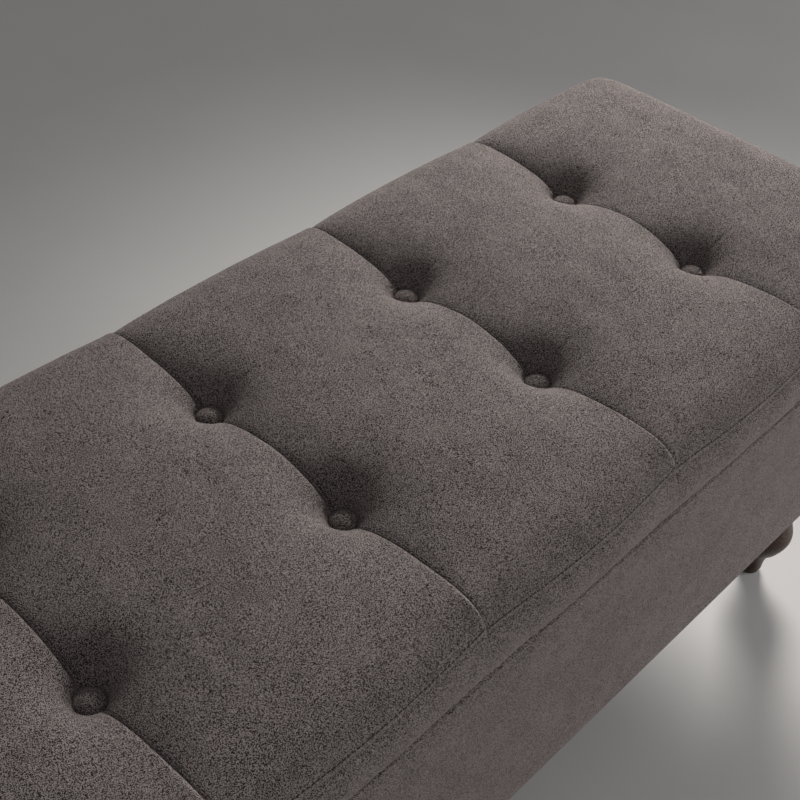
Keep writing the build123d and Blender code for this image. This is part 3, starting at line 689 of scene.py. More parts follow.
def metal_group(name):
    """Plated steel: drawing lines, spangle and dull spots."""
    tree, given, put_out = new_group(
        name, "ShaderNodeTree",
        {"Vector": ("Vector", None), "Color": ("Color", None), "Dull": ("Color", None),
         "Spangle": ("Float", 260.0), "Tarnish": ("Float", 0.35)},
        {"Color": "Color", "Height": "Float", "Roughness": "Float"})
    place = given["Vector"]
    lines = noise(tree, scaled(tree, place, (0.03, 1, 1)), 2600.0, 2.0, 0.5)
    tone = add(tree, "ShaderNodeSeparateColor", {0: cells(tree, place, given["Spangle"], 1)})
    spots = between(tree, noise(tree, place, 110.0, 4.0, 0.65), 0.50, 0.72)
    share = maths(tree, "MULTIPLY", spots, given["Tarnish"])
    shaded = mix(tree, maths(tree, "MULTIPLY", tone, 0.16), given["Color"], given["Dull"])
    return put_out(Color=mix(tree, share, shaded, given["Dull"]), Height=lines,
                   Roughness=plus(tree, between(tree, lines, 0.2, 0.8, 0.26, 0.40), share, 0.35))


# ---------------------------------------------------------------- materials
def new_material(name, principled, bump):
    """A material with its constants and its Bump's strength and distance set.

    Returns its tree, and a function that links its colour, relief and roughness and returns it.
    """
    material = bpy.data.materials.new(f"bench_{name}")
    material.use_nodes = True
    tree = material.node_tree
    shader = feed(tree, tree.nodes["Principled BSDF"], principled)
    relief = feed(tree, tree.nodes.new("ShaderNodeBump"), {"Strength": bump[0], "Distance": bump[1]})
    tree.links.new(relief.outputs[0], shader.inputs["Normal"])

    def wire(base, height, roughness):
        tree.links.new(base, shader.inputs["Base Color"])
        tree.links.new(height, relief.inputs["Height"])
        tree.links.new(roughness, shader.inputs["Roughness"])
        return material

    return tree, wire


def in_object(tree):
    """Object coordinates."""
    return add(tree, "ShaderNodeTexCoord", out=3)


def place_group(tree, name, maker, place, **inputs):
    """A shared effect in a material, at the given coordinates; returns its outputs."""
    node = tree.nodes.new("ShaderNodeGroup")
    node.node_tree = shared(name, maker)
    return feed(tree, node, {"Vector": place, **inputs}).outputs


def upholstery_cloth():
    """The heathered cloth of the lid, the box and the buttons."""
    look = settings("cloth")
    principled = {"Sheen Weight": 0.28, "Sheen Roughness": 0.22, "Sheen Tint": (0.86, 0.78, 0.76, 1),
                  "Specular IOR Level": 0.08}
    tree, wire = new_material("upholstery_cloth", principled, (0.55, 0.45 * MM))
    return wire(*place_group(tree, "Heathered cloth", heather_group, in_object(tree), Dark=rgba(look.dark),
                             Light=rgba(look.light), Thread=look.thread))


def thread_material():
    """Twisted sewing thread, darker than the cloth."""
    look = settings("cloth")
    tree, wire = new_material("sewing_thread", {"Sheen Weight": 0.2}, (0.5, 0.1 * MM))
    strands = twist(tree, in_object(tree), 520.0, 1.5)
    return wire(mix(tree, strands, rgba(look.dark, 0.15), rgba(look.dark, 0.6)), strands,
                between(tree, strands, 0, 1, 0.85, 0.65))


def woven_material(name, tone, thread):
    """A plain-woven lining."""
    tree, wire = new_material(name, {"Sheen Weight": 0.1, "Specular IOR Level": 0.2}, (0.5, 0.2 * MM))
    weave = place_group(tree, "Plain weave", weave_group, in_object(tree), Thread=thread)
    shade = between(tree, weave["Shade"], 0.1, 1.3)
    return wire(mix(tree, shade, rgba(tone, 0.62), rgba(tone, 1.5)), weave["Height"],
                between(tree, shade, 0, 1, 0.95, 0.8))


def nonwoven_material(name, tone):
    """Pressed-fibre cloth with its embossed dots."""
    tree, wire = new_material(name, {"Specular IOR Level": 0.25}, (0.4, 0.25 * MM))
    place = in_object(tree)
    fibres = noise(tree, place, 1500.0, 4.0, 0.7)
    press = between(tree, cells(tree, place, 620.0, randomness=0.15), 0.12, 0.30)
    return wire(mix(tree, between(tree, fibres, 0.3, 0.7), rgba(tone, 0.6), rgba(tone, 1.9)),
                plus(tree, press, fibres, 0.4), between(tree, press, 0, 1, 0.55, 0.9))


def stained_wood():
    """Dark stained and lacquered turned wood, scuffed towards the toe."""
    look = settings("finish")
    principled = {"Coat Weight": 0.08, "Coat Roughness": 0.35, "Specular IOR Level": 0.25}
    tree, wire = new_material("turned_wood", principled, (0.35, 0.15 * MM))
    place = in_object(tree)
    grain = place_group(tree, "Wood grain", grain_group, place, Dark=rgba(look.stain),
                        Light=rgba(look.stain_light), Rings=55.0)
    toe = between(tree, split(tree, place)[2], 0.004, 0.045, 1.0, 0.0)
    worn = maths(tree, "MULTIPLY", toe, between(tree, noise(tree, place, 420.0, 4.0, 0.7), 0.56, 0.70))
    tone = mix(tree, maths(tree, "MULTIPLY", worn, 0.5), grain["Color"], rgba(look.stain_light, 2.2))
    return wire(tone, grain["Pores"], plus(tree, grain["Roughness"], worn, 0.3))


def plain_wood(name, tone, rings):
    """Unfinished pine or plywood, its grain along X."""
    tree, wire = new_material(name, {"Specular IOR Level": 0.3}, (0.3, 0.15 * MM))
    place = scaled(tree, in_object(tree), (1, 1, 1), (0, math.pi / 2, 0))
    grain = place_group(tree, "Wood grain", grain_group, place, Dark=rgba(tone, 0.62),
                        Light=rgba(tone, 1.15), Rings=rings)
    return wire(grain["Color"], grain["Pores"], maths(tree, "ADD", grain["Roughness"], 0.3))


def steel(name, tone, tarnish, spangle):
    """Plated steel."""
    tree, wire = new_material(name, {"Metallic": 1.0}, (0.12, 0.05 * MM))
    return wire(*place_group(tree, "Plated steel", metal_group, in_object(tree), Color=rgba(tone),
                             Dull=rgba(tone, 0.45), Tarnish=tarnish, Spangle=spangle))


def moulded(name, tone, roughness, grit):
    """Moulded rubber or plastic with a fine texture and a little dust."""
    tree, wire = new_material(name, {"Specular IOR Level": 0.4}, (0.25, 0.1 * MM))
    place = in_object(tree)
    texture = noise(tree, place, grit, 3.0, 0.6)
    dust = between(tree, noise(tree, place, 160.0, 4.0, 0.7), 0.52, 0.75, 0.0, 0.35)
    plain = between(tree, texture, 0.3, 0.7, roughness - 0.08, roughness + 0.08)
    return wire(mix(tree, dust, rgba(tone), rgba(tone, 3.0)), texture, plus(tree, plain, dust, 0.4))


def foam_material():
    """Open-celled foam."""
    tree, wire = new_material("foam", {"Specular IOR Level": 0.1}, (0.6, 0.4 * MM))
    pores = cells(tree, in_object(tree), 900.0)
    return wire(mix(tree, pores, (0.66, 0.58, 0.36, 1), (0.80, 0.74, 0.54, 1)), pores,
                between(tree, pores, 0, 1, 0.95, 0.85))


def twine_material():
    """Waxed linen twine."""
    tree, wire = new_material("twine", {"Sheen Weight": 0.1}, (0.6, 0.2 * MM))
    strands = twist(tree, in_object(tree), 300.0, 1.0)
    return wire(mix(tree, strands, (0.22, 0.17, 0.10, 1), (0.42, 0.35, 0.24, 1)), strands,
                between(tree, strands, 0, 1, 0.75, 0.5))


MATERIAL_MAKERS = {
    "upholstery_cloth": upholstery_cloth,
    "sewing_thread": thread_material,
    "lining_cloth": lambda: woven_material("lining_cloth", settings("finish").lining, 0.55 * MM),
    "dust_cloth": lambda: nonwoven_material("dust_cloth", (0.016, 0.016, 0.017)),
    "foam": foam_material,
    "twine": twine_material,
    "glide_plastic": lambda: moulded("glide_plastic", (0.020, 0.019, 0.018), 0.45, 1400.0),
    "bumper_rubber": lambda: moulded("bumper_rubber", (0.017, 0.016, 0.016), 0.72, 900.0),
    "turned_wood": stained_wood,
    "hinge_steel": lambda: steel("hinge_steel", (0.50, 0.47, 0.41), 0.45, 420.0),
    "stay_steel": lambda: steel("stay_steel", settings("finish").steel, 0.25, 180.0),
    "zinc_steel": lambda: steel("zinc_steel", (0.62, 0.61, 0.56), 0.30, 520.0),
    "pine": lambda: plain_wood("pine", (0.50, 0.33, 0.17), 38.0),
    "plywood": lambda: plain_wood("plywood", settings("finish").plywood, 16.0),
}


def finish(name):
    """One of the bench's materials, built once."""
    return bpy.data.materials.get(f"bench_{name}") or MATERIAL_MAKERS[name]()


# ---------------------------------------------------------------- repeated pieces
def copies(tree, given, put_out, points, turn, **more):
    """Ends a tree: the given shape at every point, made real and given its material."""
    shape = add(tree, "GeometryNodeObjectInfo", {"Object": given["Shape"]}, out="Geometry")
    placed = add(tree, "GeometryNodeInstanceOnPoints",
                 {"Points": points, "Instance": shape, "Rotation": turn, **more})
    real = add(tree, "GeometryNodeRealizeInstances", {0: placed})
    return put_out(Geometry=add(tree, "GeometryNodeSetMaterial", {0: real, "Material": given["Material"]}))


def repeat_tree(name):
    """Geometry Nodes: one shape at each step along paths, lying along them."""
    tree, given, put_out = new_group(
        name, "GeometryNodeTree",
        {"Paths": ("Geometry", None), "Shape": ("Object", None), "Pitch": ("Float", 3 * MM),
         "Unevenness": ("Float", 0.0), "Seed": ("Int", 5), "Material": ("Material", None)},
        {"Geometry": "Geometry"})
    curve = add(tree, "GeometryNodeMeshToCurve", {0: given["Paths"]})
    curve = add(tree, "GeometryNodeResampleCurve", {"Curve": curve, "Length": given["Pitch"]}, mode="LENGTH")
    tangent = add(tree, "GeometryNodeInputTangent")
    turn = add(tree, "FunctionNodeAlignRotationToVector", {"Vector": tangent}, axis="X", pivot_axis="AUTO")
    low = maths(tree, "SUBTRACT", 1.0, given["Unevenness"])
    high = maths(tree, "ADD", 1.0, given["Unevenness"])
    size = add(tree, "FunctionNodeRandomValue", {2: low, 3: high, "Seed": given["Seed"]}, out=1,
               data_type="FLOAT")
    return copies(tree, given, put_out, curve, turn, Scale=size)


def scatter_tree(name):
    """Geometry Nodes: one shape at each point, its Z axis along the point's "way"."""
    tree, given, put_out = new_group(
        name, "GeometryNodeTree",
        {"Points": ("Geometry", None), "Shape": ("Object", None), "Seed": ("Int", 3),
         "Material": ("Material", None)},
        {"Geometry": "Geometry"})
    way = add(tree, "GeometryNodeInputNamedAttribute", {"Name": "way"}, data_type="FLOAT_VECTOR")
    turn = add(tree, "FunctionNodeAlignRotationToVector", {"Vector": way}, axis="Z")
    spin = add(tree, "FunctionNodeRandomValue", {3: 2 * math.pi, "Seed": given["Seed"]}, out=1,
               data_type="FLOAT")
    about = add(tree, "FunctionNodeAxisAngleToRotation", {"Axis": (0, 0, 1), "Angle": spin})
    turn = add(tree, "FunctionNodeRotateRotation", {0: turn, 1: about}, rotation_space="LOCAL")
    return copies(tree, given, put_out, given["Points"], turn)


def grown(piece, tree, values):
    """Runs a Geometry Nodes tree on a piece and leaves its result as a plain mesh."""
    modifier = piece.modifiers.new(tree.name, "NODES")
    modifier.node_group = tree
    for item in tree.interface.items_tree:
        if item.name in values:
            modifier[item.identifier] = values[item.name]
    depsgraph = bpy.context.evaluated_depsgraph_get()
    mesh = bpy.data.meshes.new_from_object(piece.evaluated_get(depsgraph), depsgraph=depsgraph)
    piece.modifiers.remove(modifier)
    piece.data = mesh
    mesh.polygons.foreach_set("use_smooth", [True] * len(mesh.polygons))
    bpy.data.objects.remove(values["Shape"])
    return piece


def path_object(name, paths):
    """Loose polylines in one object, each an array of places and whether it closes."""
    vertices, edges = [], []
    for places, closed in paths:
        start, count = len(vertices), len(places)
        vertices.extend(tuple(place) for place in places)
        edges.extend((start + k, start + k + 1) for k in range(count - 1))
        if closed:
            edges.append((start + count - 1, start))
    mesh = bpy.data.meshes.new(name)
    mesh.from_pydata(vertices, edges, [])
    piece = bpy.data.objects.new(name, mesh)
    bpy.context.scene.collection.objects.link(piece)
    return piece


def sewn(name, paths, radius, pitch, unevenness):
    """Machine stitches along paths."""
    return grown(path_object(name, paths), shared("Repeat along paths", repeat_tree), {
        "Shape": stitch_shape(2.9 * MM, radius), "Pitch": pitch, "Unevenness": unevenness,
        "Material": finish("sewing_thread")})


def stapled(name, paths, pitch):
    """Staples along paths."""
    return grown(path_object(name, paths), shared("Repeat along paths", repeat_tree), {
        "Shape": staple_shape(9 * MM, 0.6 * MM), "Pitch": pitch, "Material": finish("zinc_steel")})


def swept(name, rings, capped=False):
    """A closed skin through rings of equal length: the last joins the first, or both ends are capped."""
    count = len(rings[0])
    faces = [tuple(face) for face in ring_faces(len(rings), count)]
    last = (len(rings) - 1) * count
    if capped:
        faces += [tuple(range(count))[::-1], tuple(last + k for k in range(count))]
    else:
        faces += [(last + k, last + (k + 1) % count, (k + 1) % count, k) for k in range(count)]
    return outward(new_object(name, np.concatenate(rings), faces))


def tube(name, spine, radii, flat=1.0):
    """A closed six-sided tube along a spine in the XZ plane, as a template for repeats."""
    spine, radii = np.array(spine, float), np.array(radii, float)
    way = np.gradient(spine, axis=0)
    way /= np.linalg.norm(way, axis=1)[:, None]
    turn = np.linspace(0, 2 * math.pi, 6, endpoint=False)
    up = np.column_stack([-way[:, 1], way[:, 0]])
    rings = [np.column_stack([spine[k, 0] + up[k, 0] * radii[k] * flat * np.sin(turn),
                              radii[k] * np.cos(turn),
                              spine[k, 1] + up[k, 1] * radii[k] * flat * np.sin(turn)])
             for k in range(len(spine))]
    return swept(name, rings, capped=True)


def stitch_shape(long, radius):
    """One stitch, its ends going down into the cloth."""
    half = long / 2
    share = np.array([-1, -0.8, -0.35, 0.35, 0.8, 1])
    spine = [(half * s, -1.1 * radius * abs(s) ** 4) for s in share]
    return tube("stitch", spine, radius * np.array([0.55, 0.85, 1, 1, 0.85, 0.55]), flat=0.8)


def staple_shape(width, wire):
    """One staple's crown, its shoulders going in."""
    half = width / 2
    spine = [(-half, 1.5 * wire), (-half, 0.2 * wire), (-half + 0.8 * wire, -0.4 * wire),
             (half - 0.8 * wire, -0.4 * wire), (half, 0.2 * wire), (half, 1.5 * wire)]
    return tube("staple", spine, [wire / 2] * len(spine))


# ---------------------------------------------------------------- turned pieces
def lathe(profile, count, wobble=None):
    """Vertices and faces of a closed turned shape; the profile starts and ends on the axis."""
    turn = np.linspace(0, 2 * math.pi, count, endpoint=False)
    inner = np.array(profile[1:-1], float)
    radii = inner[:, :1] * (1 if wobble is None else wobble(turn, inner[:, 1:]))
    radii = np.broadcast_to(radii, (len(inner), count))
    rings = np.stack([radii * np.cos(turn), radii * np.sin(turn), np.repeat(inner[:, 1:], count, 1)], -1)
    vertices = np.concatenate([[(0, 0, profile[0][1])], rings.reshape(-1, 3), [(0, 0, profile[-1][1])]])
    faces = [tuple(face) for face in ring_faces(len(inner), count, 1)]
    last = len(vertices) - 1
    for k in range(count):
        after = (k + 1) % count
        faces.append((0, 1 + after, 1 + k))
        faces.append((last, last - count + k, last - count + after))
    return vertices, faces


def gathered(parts):
    """One set of vertices and faces out of several."""
    vertices, faces, start = [], [], 0
    for some, their_faces in parts:
        vertices.append(some)
        faces.extend(tuple(i + start for i in face) for face in their_faces)
        start += len(some)
    return np.concatenate(vertices), faces


def make_buttons():
    """Covered buttons: cloth drawn over a dome and gathered under its edge."""
    low, high = node_box("tufting_buttons")
    radius = button_places[0][0] - low[0]
    rise = settings("cushion").button_rise
    height = high[2] - low[2] + rise
    dome = [(radius * s, -0.45 * height * s ** 2.2) for s in (0.12, 0.27, 0.42, 0.56, 0.68, 0.79, 0.88)]
    rim = [(radius * (0.92 + 0.08 * math.sin(a)), height * (-0.44 - 0.16 * (1 - math.cos(a))))
           for a in np.radians((20, 45, 70, 90, 115, 140, 160))]
    under = [(0.93 * radius, -0.80 * height), (0.86 * radius, -0.93 * height), (0.80 * radius, -height)]
    profile = [(0, 0), *dome, *rim, *under, (0, -height)]

    def gathers(turn, z):
        low_share = np.clip((-z / height - 0.45) / 0.5, 0, 1)
        return 1 - 0.018 * low_share * (0.5 + 0.5 * np.cos(15 * turn + 0.6 * np.sin(3 * turn)))

    parts, most_tilt = [], math.radians(2.5)
    for index, (x, y, _) in enumerate(button_places):
        vertices, faces = lathe(profile, 60, gathers)
        tilt = Matrix.Rotation(most_tilt * math.sin(2.9 * index + 0.4), 3, "X")
        tilt = tilt @ Matrix.Rotation(most_tilt * math.cos(1.7 * index), 3, "Y")
        parts.append((vertices @ np.array(tilt).T + (x, y, high[2] + rise), faces))
    return outward(new_object("covered_buttons", *gathered(parts)))


class BENCH_PG_leg(bpy.types.PropertyGroup):
    """Profile of a turned leg"""
    toe: length("Toe radius", "Radius at the foot", 12.5 * MM)
    ball: length("Ball radius", "Widest part of the ball", 31 * MM)
    ball_height: length("Ball height", "Widest part above the floor", 58 * MM)
    neck: length("Neck radius", "Radius between ball and bead", 18 * MM)
    neck_straight: length("Neck length", "Plain neck under the bead", 3 * MM)
    bead: length("Bead", "How far the bead stands out", 7 * MM)
    cove_height: length("Cove height", "Height of the cove under the collar", 8 * MM)
    cove_step: length("Cove step", "Small step where the cove starts", 2 * MM)
    collar_height: length("Collar height", "Height of the collar", 42 * MM)
    edge: length("Edge", "Rounding of the collar's edges", 1.2 * MM)


def leg_profile(low, high):
    """Radius and height pairs of a turned leg, from its foot up."""
    leg = settings("leg")
    collar = (high[0] - low[0]) / 2
    collar_bottom = high[2] - leg.collar_height
    neck_height = leg.ball_height + 0.6 * (collar_bottom - leg.ball_height)
    marks = np.array([(leg.toe, low[2]), (1.08 * leg.toe, 0.34 * leg.ball_height),
                      (0.58 * leg.ball, 0.57 * leg.ball_height), (0.81 * leg.ball, 0.74 * leg.ball_height),
                      (leg.ball, leg.ball_height), (0.93 * leg.ball, 1.24 * leg.ball_height),
                      (leg.neck, neck_height)])
    vase = [tuple(row) for row in cubic_rows(marks, np.linspace(0, len(marks) - 1, 49))]
    bead_low, bead_high = neck_height + leg.neck_straight, collar_bottom - leg.cove_height
    turn = np.radians(np.linspace(0, 180, 15))
    middle, half = (bead_low + bead_high) / 2, (bead_high - bead_low) / 2
    bead = [(leg.neck + leg.bead * math.sin(t), middle - half * math.cos(t)) for t in turn]
    foot = leg.neck + leg.cove_step
    cove = [(foot + (collar - leg.edge - foot) * (1 - math.cos(t)), bead_high + leg.cove_height * math.sin(t))
            for t in np.radians(np.linspace(0, 90, 10))]
    edges = np.radians(np.linspace(0, 90, 5))
    lower = [(collar - leg.edge * (1 - math.sin(t)), collar_bottom + leg.edge * (1 - math.cos(t)))
             for t in edges]
    upper = [(collar - leg.edge * (1 - math.cos(t)), high[2] - leg.edge * (1 - math.sin(t))) for t in edges]
    toe = [(0.9 * leg.toe, low[2]), *vase[1:]]
    return [(0, low[2]), *toe, *bead, *cove, *lower, *upper, (0.3 * collar, high[2]), (0, high[2])]


def make_leg(node):
    """One turned leg in place of its plain node."""
    low, high = node_box(node)
    vertices, faces = lathe(leg_profile(low, high), 72)
    middle = (low + high) / 2
    return outward(new_object(f"turned_{node}", vertices + (middle[0], middle[1], 0), faces))


# ---------------------------------------------------------------- box cover and linings
def rectangle_loop(low, high, radius, counts):
    """Plan places and outward normals of a rounded rectangle, anticlockwise from its front right corner.

    Loops made with the same counts of points for their long and short sides can be joined.
    """
    low, high, corner_points = np.asarray(low, float)[:2], np.asarray(high, float)[:2], 7
    corners = [(high[0], low[1], -90), (high[0], high[1], 0), (low[0], high[1], 90), (low[0], low[1], 180)]
    middle = (low + high) / 2
    centres = [np.array([x - radius * np.sign(x - middle[0]), y - radius * np.sign(y - middle[1])])
               for x, y, _ in corners]
    places, normals = [], []
    for index, (_, _, start) in enumerate(corners):
        for angle in np.radians(start + np.linspace(0, 90, corner_points)):
            way = np.array([math.cos(angle), math.sin(angle)])
            places.append(centres[index] + radius * way)
            normals.append(way)
        side = np.array([math.cos(math.radians(start + 90)), math.sin(math.radians(start + 90))])
        first, last = places[-1], centres[(index + 1) % 4] + radius * side
        for share in np.linspace(0, 1, counts[index % 2] + 1)[1:-1]:
            places.append(first + share * (last - first))
            normals.append(side)
    return np.array(places), np.array(normals)


def level_ring(low, high, radius, counts, z, out=0.0):
    """A rounded rectangle at a height, moved outwards by one amount or by one for each point."""
    places, normals = rectangle_loop(low, high, radius, counts)
    return np.column_stack([places + normals * np.reshape(out, (-1, 1)), np.full(len(places), z)])


def along_side(places, normals):
    """How far each place lies along its side of a rectangle about the origin."""
    return places[:, 0] * normals[:, 1] - places[:, 1] * normals[:, 0]


class BENCH_PG_box(bpy.types.PropertyGroup):
    """Cloth over the box"""
    skirt: length("Skirt", "How far the folded lower edge hangs below the wood's turn", 3 * MM)
    corner: length("Corner", "Plan radius of the box's covered corners", 5 * MM)
    drawn_in: length("Drawn in", "How far the cloth is pulled in under the lid", 1.8 * MM)
    edge: length("Edge", "Rounding of the covered rim", 2.4 * MM)
    belly: length("Belly", "How far the padding stands out between the edges", 1.0 * MM)
    wave: length("Unevenness", "Size of the cloth's small unevenness", 0.35 * MM)
    lining_corner: length("Lining corner", "Radius of the lining's upright corners", 6 * MM)


def make_box_cover():
    """Cloth and wadding round the four walls, over the rim and under the bottom edge."""
    shape = settings("box")
    front_low, back_high = node_box("front_cover")[0], node_box("back_cover")[1]
    wood_low, wood_high = node_box("front_panel")[0], node_box("back_panel")[1]
    inner_low, inner_high = node_box("storage_lining")
    turned_low, turned_high = node_box("dust_cover")
    low, high = front_low[:2], back_high[:2]
    bottom, rim = front_low[2] - shape.skirt, back_high[2]
    turn, tight, gap, corner_hold, rim_hold = 1.6 * MM, 0.6 * MM, 0.1 * MM, 28 * MM, 9 * MM

    def ring(a, b, radius, z, out=0.0):
        return level_ring(a, b, radius, (240, 96), z, out)

    places, normals = rectangle_loop(low, high, shape.corner, (240, 96))
    along = along_side(places, normals)
    from_corner = np.maximum(high[0] - np.abs(places[:, 0]),
                             np.minimum(places[:, 1] - low[1], high[1] - places[:, 1]))
    flat = 1 - np.exp(-from_corner / corner_hold)
    rings = [ring(inner_low, inner_high, tight, wood_high[2] + gap),
             ring(inner_low, inner_high, tight, rim - 0.4 * MM),
             ring(inner_low[:2] - 0.4 * MM, inner_high[:2] + 0.4 * MM, 0.8 * MM, rim)]
    for angle in np.radians(np.linspace(90, 0, 7)):
        inset = shape.edge * (1 - math.cos(angle))
        rings.append(ring(low, high, shape.corner, rim - shape.edge * (1 - math.sin(angle)),
                          -inset - shape.drawn_in))
    top, base = rim - shape.edge, bottom + turn
    for share in np.linspace(0, 1, 46)[1:-1]:
        z = top + share * (base - top)
        belly = shape.belly * math.sin(math.pi * share) ** 0.5 * flat
        wave = shape.wave * smooth_noise(along, np.full(len(along), z * 1.4), 0.09, 21)
        fine = 0.25 * shape.wave * smooth_noise(along, np.full(len(along), z), 0.018, 22)
        hold = math.sin(math.pi * share) ** 0.35
        pulled = shape.drawn_in * math.exp(-((top - z) / rim_hold) ** 2)
        rings.append(ring(low, high, shape.corner, z, belly + (wave + fine) * hold - pulled))
    for angle in np.radians(np.linspace(0, 90, 6)):
        inset = turn * (1 - math.cos(angle))
        rings.append(ring(low, high, shape.corner, base - turn * math.sin(angle), -inset))
    rings += [ring(low + 5 * MM, high - 5 * MM, 2 * MM, bottom),
              ring(low + 8 * MM, high - 8 * MM, 1 * MM, front_low[2]),
              ring(turned_low, turned_high, tight, front_low[2]),
              ring(turned_low, turned_high, tight, wood_low[2] - gap),
              ring(wood_low[:2] - gap, wood_high[:2] + gap, tight, wood_low[2] - gap),
              ring(wood_low[:2] - gap, wood_high[:2] + gap, tight, wood_high[2] + gap)]
    return swept("box_cover", rings)


def make_storage_lining():
    """The lining: one cut cloth with sewn upright corners and a hem under the rim."""
    shape = settings("box")
    low, high = node_box("storage_lining")
    thick, hem, gap, fold = 0.8 * MM, 9 * MM, 0.1 * MM, 4 * MM
    far, near, sharpest, counts = 120 * MM, 30 * MM, 0.8 * MM, (160, 64)

    def ring(inset, z, out=0.0):
        radius = max(shape.lining_corner - inset, sharpest)
        return level_ring(low[:2] + inset, high[:2] - inset, radius, counts, z, out)

    along = along_side(*rectangle_loop(low, high, shape.lining_corner, counts))
    floor = low[2] + gap
    heights = np.linspace(floor + 6 * MM, high[2] - hem, 30)

    def sag(z):
        share = (z - floor) / (high[2] - floor)
        return 0.35 * MM * math.sin(math.pi * share) * smooth_noise(along, np.full(len(along), z), 0.12, 31)

    rings = [ring(far, floor), ring(near, floor), ring(gap, floor), *(ring(gap, z) for z in heights),
             ring(gap, high[2] - gap),
             ring(gap + thick + 0.35 * MM, high[2] - gap),
             ring(gap + thick + 0.45 * MM, high[2] - hem),
             ring(gap + thick, high[2] - hem - 0.5 * MM)]
    rings.extend(ring(gap + thick, z, -sag(z) - 0.25 * MM) for z in heights[:0:-1])
    for angle in np.radians(np.linspace(0, 90, 6)):
        inset = gap + thick + fold * (1 - math.cos(angle))
        rings.append(ring(inset, floor + thick + fold * (1 - math.sin(angle))))
    rings += [ring(near, floor + thick), ring(far, floor + thick)]
    return swept("box_lining", rings, capped=True)


def flat_sheet(name, xs, ys, height, thick, keep=None):
    """A closed thin sheet over a grid; height gives its upper face and keep says which cells it has."""
    x, y = np.meshgrid(xs, ys, indexing="ij")
    top = np.stack([x, y, height(x, y)], -1).reshape(-1, 3)
    under = top - (0, 0, thick)
    index = np.arange(len(xs) * len(ys)).reshape(len(xs), len(ys))
    kept = np.ones((len(xs) - 1, len(ys) - 1), bool)
    if keep is not None:
        kept = keep(*np.meshgrid((xs[1:] + xs[:-1]) / 2, (ys[1:] + ys[:-1]) / 2, indexing="ij"))
    quads = np.stack([index[:-1, :-1], index[1:, :-1], index[1:, 1:], index[:-1, 1:]], -1)[kept].tolist()
    total, edges = len(top), {}
    for quad in quads:
        for a, b in zip(quad, quad[1:] + quad[:1]):
            if (b, a) in edges:
                del edges[(b, a)]
            else:
                edges[(a, b)] = True
    faces = [tuple(q) for q in quads] + [tuple(i + total for i in q[::-1]) for q in quads]
    faces += [(b, a, a + total, b + total) for a, b in edges]
    piece = new_object(name, np.concatenate([top, under]), faces)
    mesh = bmesh.new()
    mesh.from_mesh(piece.data)
    bmesh.ops.delete(mesh, geom=[v for v in mesh.verts if not v.link_faces], context="VERTS")
    mesh.to_mesh(piece.data)
    mesh.free()
    return outward(piece)


def hemmed(xs, ys, top, hem, fold, slack, run, size, seed):
    """Height of a stapled sheet: lower by a fold inside its hem, and slack away from its edges."""
    low, high = (xs[0], ys[0]), (xs[-1], ys[-1])

    def height(x, y):
        edge = edge_distance(x, y, low, high)
        step = fold / (1 + np.exp((edge - hem) / (0.6 * MM)))
        return top - step - slack * smooth_noise(x, y, size, seed) * np.clip(edge / run, 0, 1)

    return height


def make_lid_lining():
    """The cloth on the lid's underside, its edge folded in and pillowed between staples."""
    low, high = node_box("lid_lining")
    inset = 0.4 * MM
    xs = np.linspace(low[0] + inset, high[0] - inset, 241)
    ys = np.linspace(low[1] + inset, high[1] - inset, 85)
    height = hemmed(xs, ys, high[2] - 0.33 * MM, 11 * MM, 0.45 * MM, 0.18 * MM, 40 * MM, 0.10, 41)
    return flat_sheet("lid_underside_cloth", xs, ys, height, 0.7 * MM)


def make_dust_cover():
    """The thin cloth under the box, cut out round the leg plates."""
    low, high = node_box("dust_cover")
    plates = islands("leg_plates")
    plate_low, _ = node_box("leg_plates")
    half = plates[0][0] - plate_low[0] + 1 * MM
    cuts = [sorted({round(plate[axis] + side * half, 5) for plate in plates for side in (-1, 1)})
            for axis in (0, 1)]
    xs, ys = (spaced([low[axis], *cuts[axis], high[axis]], 1.5 * MM, 7 * MM) for axis in (0, 1))

    def keep(x, y):
        clear = np.ones(x.shape, bool)
        for plate in plates:
            clear &= ~((np.abs(x - plate[0]) < half) & (np.abs(y - plate[1]) < half))
        return clear

    height = hemmed(xs, ys, high[2] - 0.22 * MM, 10 * MM, 0.2 * MM, 0.16 * MM, 60 * MM, 0.12, 51)
    return flat_sheet("underside_cloth", xs, ys, height, 0.4 * MM, keep)


# ---------------------------------------------------------------- stitches, staples and screws
def seam_paths(shape):
    """Stitch lines on the lid: beside each cross seam, and inside the perimeter seam."""
    top, flat = cushion_top(shape)
    along, across = flat[:, 0, 0], flat[0, :, 1]
    button_clear, end_clear, inside = 9.5 * MM, 2 * MM, 1.5 * MM
    paths = []
    for seam in seam_xs[1:-1]:
        column = int(np.argmin(np.abs(along - seam - shape.stitch_line)))
        clear = (across > seam_front + end_clear) & (across < seam_back - end_clear)
        for row in button_rows:
            clear &= np.abs(across - row) > button_clear
        runs = np.split(np.arange(len(clear)), np.flatnonzero(np.diff(clear.astype(int))) + 1)
        paths += [(top[column, run], False) for run in runs if clear[run[0]] and len(run) > 3]
    i0, i1 = (int(np.argmin(np.abs(along - x))) for x in (seam_xs[0] + inside, seam_xs[-1] - inside))
    j0, j1 = (int(np.argmin(np.abs(across - y))) for y in (seam_front + inside, seam_back - inside))
    paths.append((border(top[i0:i1 + 1, j0:j1 + 1]), True))
    return paths


def make_seat_stitches():
    """Machine stitches of the lid."""
    return sewn("seat_stitches", seam_paths(settings("cushion")), 0.55 * MM, 3.7 * MM, 0.06)


